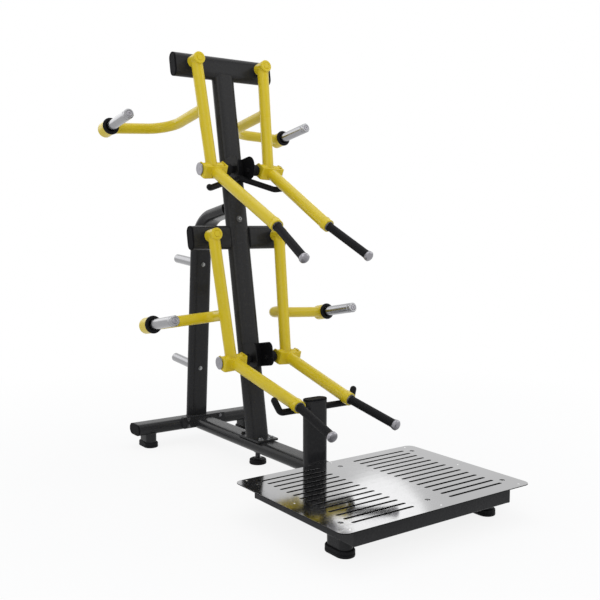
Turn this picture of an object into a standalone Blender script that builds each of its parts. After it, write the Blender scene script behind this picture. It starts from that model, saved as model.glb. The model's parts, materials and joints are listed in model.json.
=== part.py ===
"""Standing deltoid machine: a leaning column with two crossbeams, four swinging arms with
lifting forearms and turning grips, a bent rear post on a cross tube, and a steel platform.

Lengths are in metres and angles in degrees. +X is the machine's left-right direction, the user
stands at -Y and looks along +Y, and Z is up. Z = 0 is the floor under the rubber feet.
In the column's own frame, -Y is out of its front face and Z runs up along it.
"""

import math

import bmesh
import bpy
from mathutils import Matrix, Vector

# Clearance between two pieces that touch.
GAP = 0.0003

# Bolts, and how far a piece that is welded or bolted on runs into what holds it.
WASHER_THICK = 0.003
HEAD_SHARE = 0.45
SUNK = 0.001
WELD_DROP = 0.012
UPPER_WELD_DROP = 0.042

# Flat oval tube of the frame.
OVAL_WIDE = 0.120
OVAL_DEEP = 0.060
OVAL_STEPS = 6

# Base. Y = 0 here is the platform's back edge; the whole machine is centred at the end.
TUBE_Z = 0.100
REAR_TUBE_Y = 1.208
REAR_TUBE_HALF = 0.379
CAP_THICK = 0.008
JOINT_PLATE = (0.262, 0.0117, 0.063)
JOINT_PLATE_Z = 0.1105
JOINT_BOLT_X = 0.098
JOINT_BOLT_Z = (0.092, 0.129)
FOOT_STUB = (0.118, 0.060)
FOOT_PAD = (0.136, 0.076, 0.028)
PAD_POCKET_DEEP = 0.014
REAR_FOOT_X = 0.305
LEVELLING_FOOT_Y = 0.584

# Platform.
PLATE_WIDE = 0.981
PLATE_DEEP = 0.724
PLATE_TOP = 0.145
PLATE_THICK = 0.0037
PLATE_CORNER = 0.035
SLOT_ROWS = 14
SLOT_PITCH = 0.0452
SLOT_FIRST_Y = -0.061
SLOT_LONG = 0.299
SLOT_WIDE = 0.014
SLOT_X = 0.2435
FRAME_HALF = 0.409
FRAME_FRONT = -0.681
FRAME_BACK = -0.033
FRAME_BOTTOM = 0.067
FRAME_TOP = 0.141
RAIL_WIDE = 0.040
PAN = (0.068, 0.071)
FRONT_FOOT = (0.374, -0.558)
SCREW_X = 0.425
SCREW_Y = (-0.085, -0.626)
SMALL_SCREW_X = 0.440
SMALL_SCREW_Y = (-0.020, -0.699)
SCREW_RADIUS = 0.011
SCREW_SUNK = 0.0028
SMALL_SCREW_RADIUS = 0.004
SMALL_SCREW_PROUD = 0.0006
SCREW_TAB = (0.060, 0.040, 0.008)

# Front post with the lower rest bar.
FRONT_POST_Y = 0.102
FRONT_POST_TOP = 0.416
REST_BAR_RADIUS = 0.015
LOWER_BAR_Y = 0.090
LOWER_BAR_BEND_X = 0.1974
LOWER_BAR_END = (0.2276, 0.1037, 0.0685)

# Rear post: its centre line leans forward and bends into the column.
POST_FOOT_Y = 1.2367
POST_LEAN = 4.463
POST_CORNER_Z = 1.219
POST_BEND_RADIUS = 0.225
HORN_HEIGHTS = {"lower": 0.4022, "upper": 0.982}
STORAGE_HORN_LONG = 0.240

# Column, seen in its own frame.
COLUMN_FOOT_Y = 0.53435
COLUMN_LEAN = 9.94
FLANGE_Y = (0.484, 0.690)
FLANGE_TOP = 0.140
COLUMN_BOLT_HEIGHT = 1.242
FOOT_BOLT_X = 0.032
FOOT_BOLT_Y = (0.506, 0.668)
UPPER_BEAM_HALF = 0.273
LOWER_BEAM_HALF = 0.266
LOWER_BEAM_INNER = 0.046
LOWER_BEAM_RECESS = 0.002

# Pivots, sleeves and arms, in each arm's own frame: out to the side, forwards, and down the arm.
PIVOT_BOSS_RADIUS = 0.023
PIVOT_SHAFT_RADIUS = 0.016
PIVOT_SHAFT_END = 0.080
SLEEVE_RADIUS = 0.030
SLEEVE_FROM = 0.0223
SLEEVE_TO = 0.092
ARM_RADIUS = 0.0285
ARM_FORWARD = 0.060
ARM_TILT = 3.0
CROSS_SLEEVE_HALF = 0.0555
CROSS_SHAFT_RADIUS = 0.015
WEIGHT_ARM_RADIUS = 0.027
HORN_OUT = 0.3416
HORN_SLEEVE_RADIUS = 0.039
HORN_SLEEVE_FRONT = 0.030
HORN_SLEEVE_BACK = 0.040
HORN_RADIUS = 0.025
HORN_LONG = 0.236
HORN_SPIGOT_RADIUS = 0.020
HORN_GROOVE = 0.024
RING_RADIUS = 0.0435
RING_THICK = 0.014

# Forearm: the yoke's plates and web, the tube, the collar and the grip.
YOKE_INNER = 0.056
YOKE_PLATE = 0.008
YOKE_OUTLINE = [
    (-0.032, -0.013),
    (-0.013, -0.032),
    (0.046, -0.032),
    (0.046, 0.032),
    (-0.013, 0.032),
    (-0.032, 0.013),
]
WEB_FROM = 0.038
WEB_TO = 0.046
WEB_HALF = 0.0317
COLLAR_RADIUS = 0.030
COLLAR_HALF = 0.017
DISC_RADIUS = 0.031
GRIP_RADIUS = 0.0195
GRIP_CORE_RADIUS = 0.010
GRIP_END = 0.294
GRIP_CAP_RADIUS = 0.0235

# What differs between the upper and the lower pair of arms.
LEVELS = {
    "upper": {
        "beam_height": 2.023,
        "face": 0.0,
        "pivot_out": 0.1936,
        "arm_long": 0.5432,
        "weight_down": 0.244,
        "weight_arm_bend": 0.130,
        "horn_forward": -0.321,
        "droop": 37.4,
        "forearm_long": 0.5925,
        "toe_in": 0.0047,
        "splay": 8.3,
        "bracket": (1.432, 1.548),
        "bracket_corner": 0.048,
        "bolts": (1.484, 1.526),
    },
    "lower": {
        "beam_height": 1.1528,
        "face": -LOWER_BEAM_RECESS,
        "pivot_out": 0.1917,
        "arm_long": 0.619,
        "weight_down": 0.392,
        "weight_arm_bend": 0.060,
        "horn_forward": -0.062,
        "droop": 23.6,
        "forearm_long": 0.545,
        "toe_in": 0.0081,
        "splay": 7.6,
        "bracket": (0.491, 0.609),
        "bracket_corner": 0.030,
        "bolts": (0.512, 0.588),
    },
}
SIDES = {"left": -1, "right": 1}

# Stop brackets, bumpers and the upper rest bar, in the column's frame.
BRACKET_HALF = 0.050
BRACKET_WALL = 0.005
BRACKET_BACK = 0.006
BRACKET_DEEP = 0.115
BUMPER_RADIUS = 0.028
UPPER_BAR = [
    (0.0, -0.028, 1.448),
    (0.188, -0.065, 1.383),
    (0.2169, -0.1058, 1.3806),
]

ROUND = 16
GRIP_SIDES = 14
SMALL_ROUND = 12
BEVEL_STEPS = 3
BAR_BEVEL_STEPS = 2


def clear_scene():
    for ob in list(bpy.data.objects):
        bpy.data.objects.remove(ob, do_unlink=True)


def new_collection(name):
    collection = bpy.data.collections.new(name)
    bpy.context.scene.collection.children.link(collection)
    return collection


clear_scene()
PARTS = new_collection("deltoid_machine")
CUTTERS = new_collection("cutters")


def material(name, colour, roughness, metallic=0.0):
    made = bpy.data.materials.new(name)
    made.use_nodes = True
    shader = made.node_tree.nodes["Principled BSDF"]
    shader.inputs["Base Color"].default_value = (*colour, 1)
    shader.inputs["Roughness"].default_value = roughness
    shader.inputs["Metallic"].default_value = metallic
    made.diffuse_color = (*colour, 1)
    return made


BLACK = material("black_powder_coat", (0.060, 0.060, 0.064), 0.38)
YELLOW = material("yellow_powder_coat", (0.74, 0.58, 0.045), 0.32)
CHROME = material("chrome", (0.78, 0.78, 0.80), 0.10, 1.0)
STAINLESS = material("polished_stainless", (0.70, 0.70, 0.70), 0.16, 1.0)
RUBBER = material("black_rubber", (0.020, 0.020, 0.020), 0.75)
PLASTIC = material("black_plastic", (0.028, 0.028, 0.030), 0.50)


def empty(name, parent=None, at=(0, 0, 0), turn=(0, 0, 0)):
    """A frame of reference: an empty at a place and a turn in its parent's frame."""
    made = bpy.data.objects.new(name, None)
    made.empty_display_size = 0.05
    made.location = at
    made.rotation_euler = [math.radians(angle) for angle in turn]
    made.parent = parent
    PARTS.objects.link(made)
    return made


def mesh_object(name, mesh, smooth=True):
    if smooth:
        mesh.shade_smooth()
        mesh.set_sharp_from_angle(angle=math.radians(32))
    made = bpy.data.objects.new(name, mesh)
    CUTTERS.objects.link(made)
    return made


def from_curve(name, curve, matrix=None):
    """A curve's solid as a mesh object: its caps are welded, and the curve is removed."""
    guide = bpy.data.objects.new(name + "_guide", curve)
    CUTTERS.objects.link(guide)
    graph = bpy.context.evaluated_depsgraph_get()
    mesh = bpy.data.meshes.new_from_object(guide.evaluated_get(graph))
    bpy.data.objects.remove(guide, do_unlink=True)
    work = bmesh.new()
    work.from_mesh(mesh)
    bmesh.ops.remove_doubles(work, verts=work.verts, dist=0.00001)
    bmesh.ops.recalc_face_normals(work, faces=work.faces)
    work.to_mesh(mesh)
    work.free()
    if matrix:
        mesh.transform(matrix)
    return mesh_object(name, mesh)


def axes(across, up, at=(0, 0, 0)):
    """The matrix that lays a flat outline's own X along across and its own Y along up."""
    x = Vector(across).normalized()
    y = Vector(up).normalized()
    turn = Matrix((x, y, x.cross(y))).transposed().to_4x4()
    return Matrix.Translation(at) @ turn


def flat_oval(wide, deep, steps=OVAL_STEPS):
    """Two straight sides joined by half rounds, wide along X."""
    radius = deep / 2
    half = wide / 2 - radius
    points = []
    for side in (1, -1):
        for step in range(steps + 1):
            angle = math.radians(-90 + 180 * step / steps)
            points.append((side * (half + radius * math.cos(angle)), side * radius * math.sin(angle)))
    return points


def moved(points, dx, dy):
    return [(x + dx, y + dy) for x, y in points]


def rectangle(x0, x1, y0, y1):
    return [(x0, y0), (x1, y0), (x1, y1), (x0, y1)]


def filleted(points, radii, steps=5):
    """A closed outline with its corners rounded; one radius for each corner."""
    rounded = []
    for index, corner in enumerate(points):
        radius = radii[index]
        before = (Vector(points[index - 1]) - Vector(corner)).normalized()
        after = (Vector(points[(index + 1) % len(points)]) - Vector(corner)).normalized()
        if radius == 0:
            rounded.append(tuple(corner))
            continue
        half = before.angle(after) / 2
        centre = Vector(corner) + (before + after).normalized() * radius / math.sin(half)
        start = Vector(corner) + before * radius / math.tan(half) - centre
        end = Vector(corner) + after * radius / math.tan(half) - centre
        for step in range(steps + 1):
            rounded.append(tuple(centre + radius * start.slerp(end, step / steps)))
    return rounded


def slab(name, outlines, thick, matrix=None):
    """A flat outline with any holes, as a solid of this thickness about its own plane."""
    curve = bpy.data.curves.new(name, "CURVE")
    curve.dimensions = "2D"
    curve.fill_mode = "BOTH"
    curve.extrude = thick / 2
    for outline in outlines:
        spline = curve.splines.new("POLY")
        spline.points.add(len(outline) - 1)
        for point, (x, y) in zip(spline.points, outline):
            point.co = (x, y, 0, 1)
        spline.use_cyclic_u = True
    return from_curve(name, curve, matrix)


def oval_bar(name, start, end, wide_along, wide=OVAL_WIDE, deep=OVAL_DEEP):
    """A straight flat oval tube from start to end, its wide side along a given direction."""
    start = Vector(start)
    end = Vector(end)
    along = (end - start).normalized()
    across = Vector(wide_along)
    matrix = axes(across, along.cross(across), (start + end) / 2)
    return slab(name, [flat_oval(wide, deep)], (end - start).length, matrix)


def box(name, low, high):
    low = Vector(low)
    high = Vector(high)
    work = bmesh.new()
    bmesh.ops.create_cube(work, size=1)
    bmesh.ops.scale(work, vec=high - low, verts=work.verts)
    bmesh.ops.translate(work, vec=(low + high) / 2, verts=work.verts)
    mesh = bpy.data.meshes.new(name)
    work.to_mesh(mesh)
    work.free()
    return mesh_object(name, mesh, smooth=False)


def rod(name, radius, start, end, sides=ROUND):
    """A round bar from start to end."""
    start = Vector(start)
    end = Vector(end)
    along = end - start
    work = bmesh.new()
    bmesh.ops.create_cone(
        work, cap_ends=True, segments=sides, radius1=radius, radius2=radius, depth=along.length
    )
    mesh = bpy.data.meshes.new(name)
    work.to_mesh(mesh)
    work.free()
    mesh.transform(Matrix.Translation((start + end) / 2) @ along.to_track_quat("Z", "Y").to_matrix().to_4x4())
    return mesh_object(name, mesh)


def bent(points, radius, steps=6):
    """The points of a path whose inner corners are rounded."""
    points = [Vector(point) for point in points]
    path = [points[0]]
    for before, corner, after in zip(points, points[1:], points[2:]):
        back = (before - corner).normalized()
        ahead = (after - corner).normalized()
        half = back.angle(ahead) / 2
        centre = corner + (back + ahead).normalized() * radius / math.sin(half)
        start = corner + back * radius / math.tan(half) - centre
        end = corner + ahead * radius / math.tan(half) - centre
        path += [centre + radius * start.slerp(end, step / steps) for step in range(steps + 1)]
    return path + [points[-1]]


def tube(name, path, radius, resolution=BEVEL_STEPS, round_ends=False, profile=None):
    """A round bar along a path, or one with another profile. Round ends shrink point by point."""
    path = [Vector(point) for point in path]
    scales = [1.0] * len(path)
    if round_ends:
        for _ in range(2):
            tip = path[-1]
            inwards = (path[-2] - tip).normalized()
            steps = [(math.sin(angle), math.cos(angle)) for angle in (math.radians(30 * k) for k in range(3))]
            path[-1:] = [tip + inwards * radius * (1 - ahead) for ahead, _ in steps]
            path.append(tip + inwards * radius * 0.02)
            scales[-1:] = [size for _, size in steps] + [0.2]
            path.reverse()
            scales.reverse()
    curve = bpy.data.curves.new(name, "CURVE")
    curve.dimensions = "3D"
    curve.use_fill_caps = True
    curve.twist_mode = "MINIMUM"
    if profile:
        curve.bevel_mode = "OBJECT"
        curve.bevel_object = profile
    else:
        curve.bevel_depth = radius
        curve.bevel_resolution = resolution
    spline = curve.splines.new("POLY")
    spline.points.add(len(path) - 1)
    for point, place, scale in zip(spline.points, path, scales):
        point.co = (*place, 1)
        point.radius = scale
    return from_curve(name, curve)


def turned(name, profile, start, along, sides=ROUND):
    """A turned solid. The profile is (distance along, radius) pairs from the axis and back to it."""
    along = Vector(along)
    work = bmesh.new()
    points = [work.verts.new((radius, 0, -place)) for place, radius in profile]
    for first, second in zip(points, points[1:]):
        work.edges.new((first, second))
    if profile[0][1] > 0:
        work.edges.new((points[-1], points[0]))
    mesh = bpy.data.meshes.new(name)
    work.to_mesh(mesh)
    work.free()
    made = bpy.data.objects.new(name, mesh)
    CUTTERS.objects.link(made)
    screw = made.modifiers.new("turn", "SCREW")
    screw.steps = sides
    screw.render_steps = sides
    screw.use_merge_vertices = True
    screw.merge_threshold = 0.00001
    graph = bpy.context.evaluated_depsgraph_get()
    solid = bpy.data.meshes.new_from_object(made.evaluated_get(graph))
    bpy.data.objects.remove(made, do_unlink=True)
    solid.transform(Matrix.Translation(start) @ (-along).to_track_quat("Z", "Y").to_matrix().to_4x4())
    return mesh_object(name, solid)


def bore_radius(shaft_radius):
    """A bore whose flats clear the corners of a shaft that turns in it."""
    return (shaft_radius + GAP) / math.cos(math.pi / ROUND)


def ring(name, inner, outer, start, end, sides=ROUND):
    """A plain ring or bush from start to end."""
    start = Vector(start)
    along = Vector(end) - start
    long = along.length
    profile = [(0, inner), (0, outer), (long, outer), (long, inner)]
    return turned(name, profile, start, along.normalized(), sides)


def use(ob, tools, operation, frame):
    """Live Booleans: the tools stay in the cutters' collection and move with their frame."""
    for tool in tools:
        change = ob.modifiers.new(tool.name, "BOOLEAN")
        change.operation = operation
        change.solver = "EXACT"
        change.object = tool
        tool.hide_render = True
        tool.display_type = "WIRE"
        tool.parent = frame or ob.parent
    return ob


def cut(ob, *tools, frame=None):
    return use(ob, tools, "DIFFERENCE", frame)


def fuse(ob, *tools, frame=None):
    return use(ob, tools, "UNION", frame)


def node(ob, name, finish, frame):
    """Makes a shape one of the machine's named pieces, before it is cut or joined."""
    ob.name = name
    ob.data.name = name
    ob.parent = frame
    ob.data.materials.clear()
    ob.data.materials.append(finish)
    CUTTERS.objects.unlink(ob)
    PARTS.objects.link(ob)
    return ob


def bolt(start, along, across, washer):
    """A hexagonal head on its washer, both sunk a little into what they hold."""
    along = Vector(along).normalized()
    start = Vector(start)
    foot = start - along * SUNK
    washer_top = start + along * WASHER_THICK
    top = washer_top + along * across * HEAD_SHARE
    return (
        rod("washer", washer, foot, washer_top, SMALL_ROUND),
        rod("head", across / math.sqrt(3), foot, top, 6),
    )


def level_place(level, down):
    """Sideways and up places, in the column's frame, of a point down an arm's middle line."""
    tilt = math.radians(ARM_TILT)
    size = LEVELS[level]
    return (
        size["pivot_out"] - down * math.sin(tilt),
        size["beam_height"] - down * math.cos(tilt),
    )


def column_point(x, forward, up):
    """A point of the column's frame, in the machine's frame."""
    lean = math.radians(COLUMN_LEAN)
    return Vector(
        (
            x,
            COLUMN_FOOT_Y - forward * math.cos(lean) + up * math.sin(lean),
            forward * math.sin(lean) + up * math.cos(lean),
        )
    )


def post_point(y, up):
    """A point of the rear post's frame, in the machine's frame; y is backwards."""
    lean = math.radians(POST_LEAN)
    return Vector(
        (0, POST_FOOT_Y + y * math.cos(lean) - up * math.sin(lean), y * math.sin(lean) + up * math.cos(lean))
    )


def rest_bar_height():
    """The lower rest bar's height: the lower forearms lie on it at rest."""
    size = LEVELS["lower"]
    out, up = level_place("lower", size["arm_long"])
    pivot = column_point(out, ARM_FORWARD, up)
    fall = math.radians(size["droop"] - COLUMN_LEAN)
    level = (pivot.y - LOWER_BAR_Y) * math.tan(fall)
    return pivot.z - level - (ARM_RADIUS + REST_BAR_RADIUS + GAP) / math.cos(fall)


def spine_shape(extra=0.0):
    """The spine tube, or a slightly larger one that trims what stands on it."""
    return oval_bar(
        "spine_shape",
        (0, FRAME_BACK + GAP, TUBE_Z),
        (0, REAR_TUBE_Y - OVAL_WIDE / 2 - JOINT_PLATE[1] + SUNK, TUBE_Z),
        (1, 0, 0),
        OVAL_WIDE + 2 * extra,
        OVAL_DEEP + 2 * extra,
    )


def rear_tube_shape(extra=0.0):
    return oval_bar(
        "rear_tube_shape",
        (-REAR_TUBE_HALF, REAR_TUBE_Y, TUBE_Z),
        (REAR_TUBE_HALF, REAR_TUBE_Y, TUBE_Z),
        (0, 1, 0),
        OVAL_WIDE + 2 * extra,
        OVAL_DEEP + 2 * extra,
    )


def foot_stub(x, y, top):
    return oval_bar(
        "foot_stub", (x, y, FOOT_PAD[2] - PAD_POCKET_DEEP + GAP), (x, y, top), (0, 1, 0), *FOOT_STUB
    )


def make_base(machine):
    tube_low = TUBE_Z - OVAL_DEEP / 2
    plate_half = JOINT_PLATE[0] / 2
    plate_low = JOINT_PLATE_Z - JOINT_PLATE[2] / 2
    plate_high = JOINT_PLATE_Z + JOINT_PLATE[2] / 2
    joint_y = REAR_TUBE_Y - OVAL_WIDE / 2
    flange_front = joint_y - JOINT_PLATE[1] - GAP

    rear = node(rear_tube_shape(), "rear_cross_tube", BLACK, machine)
    low = (-plate_half, joint_y, plate_low)
    fuse(rear, box("joint_plate", low, (plate_half, joint_y + JOINT_PLATE[1], plate_high)))
    for side in SIDES.values():
        fuse(rear, foot_stub(side * REAR_FOOT_X, REAR_TUBE_Y, TUBE_Z))

    spine = node(spine_shape(), "spine_tube", BLACK, machine)
    low = (-plate_half, flange_front, plate_low)
    fuse(spine, box("flange", low, (plate_half, joint_y - GAP, plate_high)))
    for side in SIDES.values():
        for z in JOINT_BOLT_Z:
            fuse(spine, *bolt((side * JOINT_BOLT_X, flange_front, z), (0, -1, 0), 0.016, 0.0105))

    levelling = [
        (0, 0),
        (0, 0.041),
        (0.002, 0.043),
        (0.023, 0.042),
        (0.026, 0.036),
        (0.026, 0.018),
        (0.030, 0.018),
        (0.030, 0.014),
        (tube_low - GAP, 0.014),
        (tube_low - GAP, 0),
    ]
    foot = turned("foot", levelling, (0, LEVELLING_FOOT_Y, 0), (0, 0, 1))
    node(foot, "levelling_foot", RUBBER, machine)


def make_foot_pads(machine):
    """Rubber boots; the stubs of the frame stand in their pockets."""
    places = {"front": FRONT_FOOT, "rear": (REAR_FOOT_X, REAR_TUBE_Y)}
    for end, (out, y) in places.items():
        for side_name, side in SIDES.items():
            x = side * out
            pad = oval_bar("pad", (x, y, 0), (x, y, FOOT_PAD[2]), (0, 1, 0), *FOOT_PAD[:2])
            pocket = oval_bar(
                "pocket",
                (x, y, FOOT_PAD[2] - PAD_POCKET_DEEP),
                (x, y, FOOT_PAD[2] + 0.01),
                (0, 1, 0),
                FOOT_STUB[0] + 2 * GAP,
                FOOT_STUB[1] + 2 * GAP,
            )
            cut(node(pad, end + "_" + side_name + "_foot_pad", RUBBER, machine), pocket)


def make_platform(machine):
    """Rails with a thin pan across the bottom of their cells, and the slotted plate.

    The floor of each of its six round recesses stands for the head of a screw.
    """
    middle = (FRAME_TOP + FRAME_BOTTOM) / 2
    inner = FRAME_HALF - RAIL_WIDE
    cells = [
        rectangle(side * RAIL_WIDE / 2, side * inner, FRAME_FRONT + RAIL_WIDE, FRAME_BACK - RAIL_WIDE)
        for side in SIDES.values()
    ]
    rails = slab(
        "rails",
        [rectangle(-FRAME_HALF, FRAME_HALF, FRAME_FRONT, FRAME_BACK)] + cells,
        FRAME_TOP - FRAME_BOTTOM,
        Matrix.Translation((0, 0, middle)),
    )
    node(rails, "platform_frame", BLACK, machine)
    low = (-inner - SUNK, FRAME_FRONT + RAIL_WIDE - SUNK, PAN[0])
    fuse(rails, box("pan", low, (inner + SUNK, FRAME_BACK - RAIL_WIDE + SUNK, PAN[1])))
    tab_top = FRAME_TOP - GAP
    for side in SIDES.values():
        fuse(rails, foot_stub(side * FRONT_FOOT[0], FRONT_FOOT[1], middle))
        for y in SCREW_Y:
            x = side * SCREW_X
            low = (x - SCREW_TAB[0] / 2, y - SCREW_TAB[1] / 2, tab_top - SCREW_TAB[2])
            fuse(rails, box("tab", low, (x + SCREW_TAB[0] / 2, y + SCREW_TAB[1] / 2, tab_top)))

    half = PLATE_WIDE / 2
    outline = filleted(rectangle(-half, half, -PLATE_DEEP, 0), [PLATE_CORNER] * 4, 5)
    slots = []
    for row in range(SLOT_ROWS):
        for side in SIDES.values():
            slot = flat_oval(SLOT_LONG, SLOT_WIDE, 2)
            slots.append(moved(slot, side * SLOT_X, SLOT_FIRST_Y - row * SLOT_PITCH))
    under = Matrix.Translation((0, 0, PLATE_TOP - PLATE_THICK / 2))
    plate = node(slab("plate", [outline] + slots, PLATE_THICK, under), "tread_plate", STAINLESS, machine)
    large = [(x, y) for x in (-SCREW_X, 0, SCREW_X) for y in SCREW_Y]
    small = [(x, y) for x in (-SMALL_SCREW_X, 0, SMALL_SCREW_X) for y in SMALL_SCREW_Y]
    small += [(side * SMALL_SCREW_X, -PLATE_DEEP / 2) for side in SIDES.values()]
    for x, y in large:
        head = (x, y, PLATE_TOP - SCREW_SUNK)
        cut(plate, rod("screw_hole", SCREW_RADIUS, head, (x, y, PLATE_TOP + SCREW_SUNK), SMALL_ROUND))
    for x, y in small:
        low = (x, y, PLATE_TOP - PLATE_THICK / 2)
        fuse(plate, rod("screw", SMALL_SCREW_RADIUS, low, (x, y, PLATE_TOP + SMALL_SCREW_PROUD), 6))


def lower_bar_path():
    height = rest_bar_height()
    out, y, rise = LOWER_BAR_END
    right = [(LOWER_BAR_BEND_X, LOWER_BAR_Y, height), (out, y, height + rise)]
    left = [(-x, y, z) for x, y, z in reversed(right)]
    return bent(left + right, 0.024, 4)


def make_front_post(machine):
    top = FRONT_POST_TOP - CAP_THICK
    post = oval_bar("post", (0, FRONT_POST_Y, TUBE_Z + WELD_DROP), (0, FRONT_POST_Y, top), (1, 0, 0))
    height = rest_bar_height()
    bore = rod("bore", bore_radius(REST_BAR_RADIUS), (-0.1, LOWER_BAR_Y, height), (0.1, LOWER_BAR_Y, height))
    cut(node(post, "front_post", BLACK, machine), spine_shape(GAP), bore)
    bar = tube("bar", lower_bar_path(), REST_BAR_RADIUS, BAR_BEVEL_STEPS, round_ends=True)
    node(bar, "lower_rest_bar", BLACK, machine)


def make_rear_post(machine):
    """The post's centre line meets the column's back face square on."""
    forward = column_point(0, 1, 0) - column_point(0, 0, 0)
    corner = post_point(0, POST_CORNER_Z / math.cos(math.radians(POST_LEAN)))
    back_face = column_point(0, -OVAL_DEEP - GAP, 0)
    reach = (back_face - corner).dot(forward)
    start = post_point(0, TUBE_Z + WELD_DROP)
    path = bent([start, corner, corner + forward * reach], POST_BEND_RADIUS, 8)
    outline = bpy.data.curves.new("oval_profile", "CURVE")
    outline.dimensions = "2D"
    spline = outline.splines.new("POLY")
    points = flat_oval(OVAL_WIDE, OVAL_DEEP)
    spline.points.add(len(points) - 1)
    for point, (x, y) in zip(spline.points, points):
        point.co = (x, y, 0, 1)
    spline.use_cyclic_u = True
    profile = bpy.data.objects.new("oval_profile", outline)
    CUTTERS.objects.link(profile)
    post = node(tube("post", path, OVAL_DEEP / 2, profile=profile), "rear_post", BLACK, machine)
    bpy.data.objects.remove(profile, do_unlink=True)
    cut(post, rear_tube_shape(GAP))

    lean = empty("rear_post_frame", machine, post_point(0, 0), (POST_LEAN, 0, 0))
    half = OVAL_DEEP / 2
    horn_profile = [
        (0, 0),
        (0, HORN_RADIUS),
        (STORAGE_HORN_LONG - 0.003, HORN_RADIUS),
        (STORAGE_HORN_LONG, HORN_RADIUS - 0.003),
        (STORAGE_HORN_LONG, 0),
    ]
    for name, height in HORN_HEIGHTS.items():
        fuse(post, *bolt((0, -half, height), (0, -1, 0), 0.018, 0.014), frame=lean)
        horn = turned("horn", horn_profile, (0, half + GAP, height), (0, 1, 0))
        node(horn, name + "_storage_horn", CHROME, lean)


def upper_beam(extra=0.0, half=UPPER_BEAM_HALF):
    up = LEVELS["upper"]["beam_height"]
    back = OVAL_DEEP / 2
    wide = OVAL_WIDE + 2 * extra
    deep = OVAL_DEEP + 2 * extra
    return oval_bar("upper_beam", (-half, back, up), (half, back, up), (0, 0, 1), wide, deep)


def pivot_shaft(level, side):
    """The boss on a crossbeam's face with the shaft that an arm turns on."""
    size = LEVELS[level]
    boss_end = SLEEVE_FROM - 2 * GAP
    profile = [
        (size["face"] - SUNK, 0),
        (size["face"] - SUNK, PIVOT_BOSS_RADIUS),
        (boss_end, PIVOT_BOSS_RADIUS),
        (boss_end, PIVOT_SHAFT_RADIUS),
        (PIVOT_SHAFT_END, PIVOT_SHAFT_RADIUS),
        (PIVOT_SHAFT_END, 0),
    ]
    return turned("shaft", profile, (side * size["pivot_out"], 0, size["beam_height"]), (0, -1, 0))


def make_column(machine, column):
    back = OVAL_DEEP / 2
    upper = LEVELS["upper"]["beam_height"]
    weld = UPPER_WELD_DROP
    main_tube = oval_bar("main_tube", (0, back, 0.06), (0, back, upper - weld), (1, 0, 0))
    node(main_tube, "column", BLACK, column)
    cut(main_tube, upper_beam(GAP, OVAL_WIDE))
    trim_y = COLUMN_FOOT_Y
    low = (-OVAL_WIDE, trim_y - OVAL_WIDE, -OVAL_WIDE)
    trim = box("floor_trim", low, (OVAL_WIDE, trim_y + 2 * OVAL_WIDE, FLANGE_TOP - SUNK))
    cut(main_tube, trim, frame=machine)
    tube_top = TUBE_Z + OVAL_DEEP / 2
    foot_plate = slab(
        "foot_plate",
        [filleted(rectangle(-OVAL_DEEP, OVAL_DEEP, *FLANGE_Y), [0.010] * 4, 3)],
        FLANGE_TOP - tube_top - GAP,
        Matrix.Translation((0, 0, (FLANGE_TOP + tube_top + GAP) / 2)),
    )
    fuse(main_tube, foot_plate, frame=machine)
    for side in SIDES.values():
        for y in FOOT_BOLT_Y:
            place = (side * FOOT_BOLT_X, y, FLANGE_TOP)
            fuse(main_tube, *bolt(place, (0, 0, 1), 0.018, 0.014), frame=machine)
    fuse(main_tube, *bolt((0, 0, COLUMN_BOLT_HEIGHT), (0, -1, 0), 0.020, 0.017))

    beam = node(upper_beam(), "upper_crossbeam", BLACK, column)
    fuse(beam, *[pivot_shaft("upper", side) for side in SIDES.values()])

    low = LEVELS["lower"]["beam_height"]
    low_back = back + LOWER_BEAM_RECESS
    for side_name, side in SIDES.items():
        inner = (side * LOWER_BEAM_INNER, low_back, low)
        half = oval_bar("half", inner, (side * LOWER_BEAM_HALF, low_back, low), (0, 0, 1))
        node(half, "lower_" + side_name + "_crossbeam", BLACK, column)
        trim = oval_bar(
            "trim",
            (0, back, low - OVAL_WIDE),
            (0, back, low + OVAL_WIDE),
            (1, 0, 0),
            OVAL_WIDE + 2 * GAP,
            OVAL_DEEP + 2 * GAP,
        )
        cut(half, trim)
        fuse(half, pivot_shaft("lower", side))


def make_caps(machine, column):
    """Caps of the open tube ends."""
    back = OVAL_DEEP / 2
    upper = LEVELS["upper"]["beam_height"]
    lower = LEVELS["lower"]["beam_height"]
    ends = [
        ("rear_tube", machine, (REAR_TUBE_HALF, REAR_TUBE_Y, TUBE_Z), (0, 1, 0)),
        ("upper_beam", column, (UPPER_BEAM_HALF, back, upper), (0, 0, 1)),
        ("lower_beam", column, (LOWER_BEAM_HALF, back + LOWER_BEAM_RECESS, lower), (0, 0, 1)),
    ]
    for name, frame, (x, y, z), wide_along in ends:
        for side_name, side in SIDES.items():
            inner = (side * (x + GAP), y, z)
            outer = (side * (x + CAP_THICK), y, z)
            cap = oval_bar("cap", inner, outer, wide_along)
            node(cap, name + "_" + side_name + "_cap", PLASTIC, frame)
    low = FRONT_POST_TOP - CAP_THICK + GAP
    cap = oval_bar("cap", (0, FRONT_POST_Y, low), (0, FRONT_POST_Y, FRONT_POST_TOP), (1, 0, 0))
    node(cap, "front_post_cap", PLASTIC, machine)


def upper_bar_path():
    middle, bend, tip = UPPER_BAR
    left = [(-x, y, z) for x, y, z in (tip, bend)]
    return bent(left + [middle, bend, tip], 0.026, 3)


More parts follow.
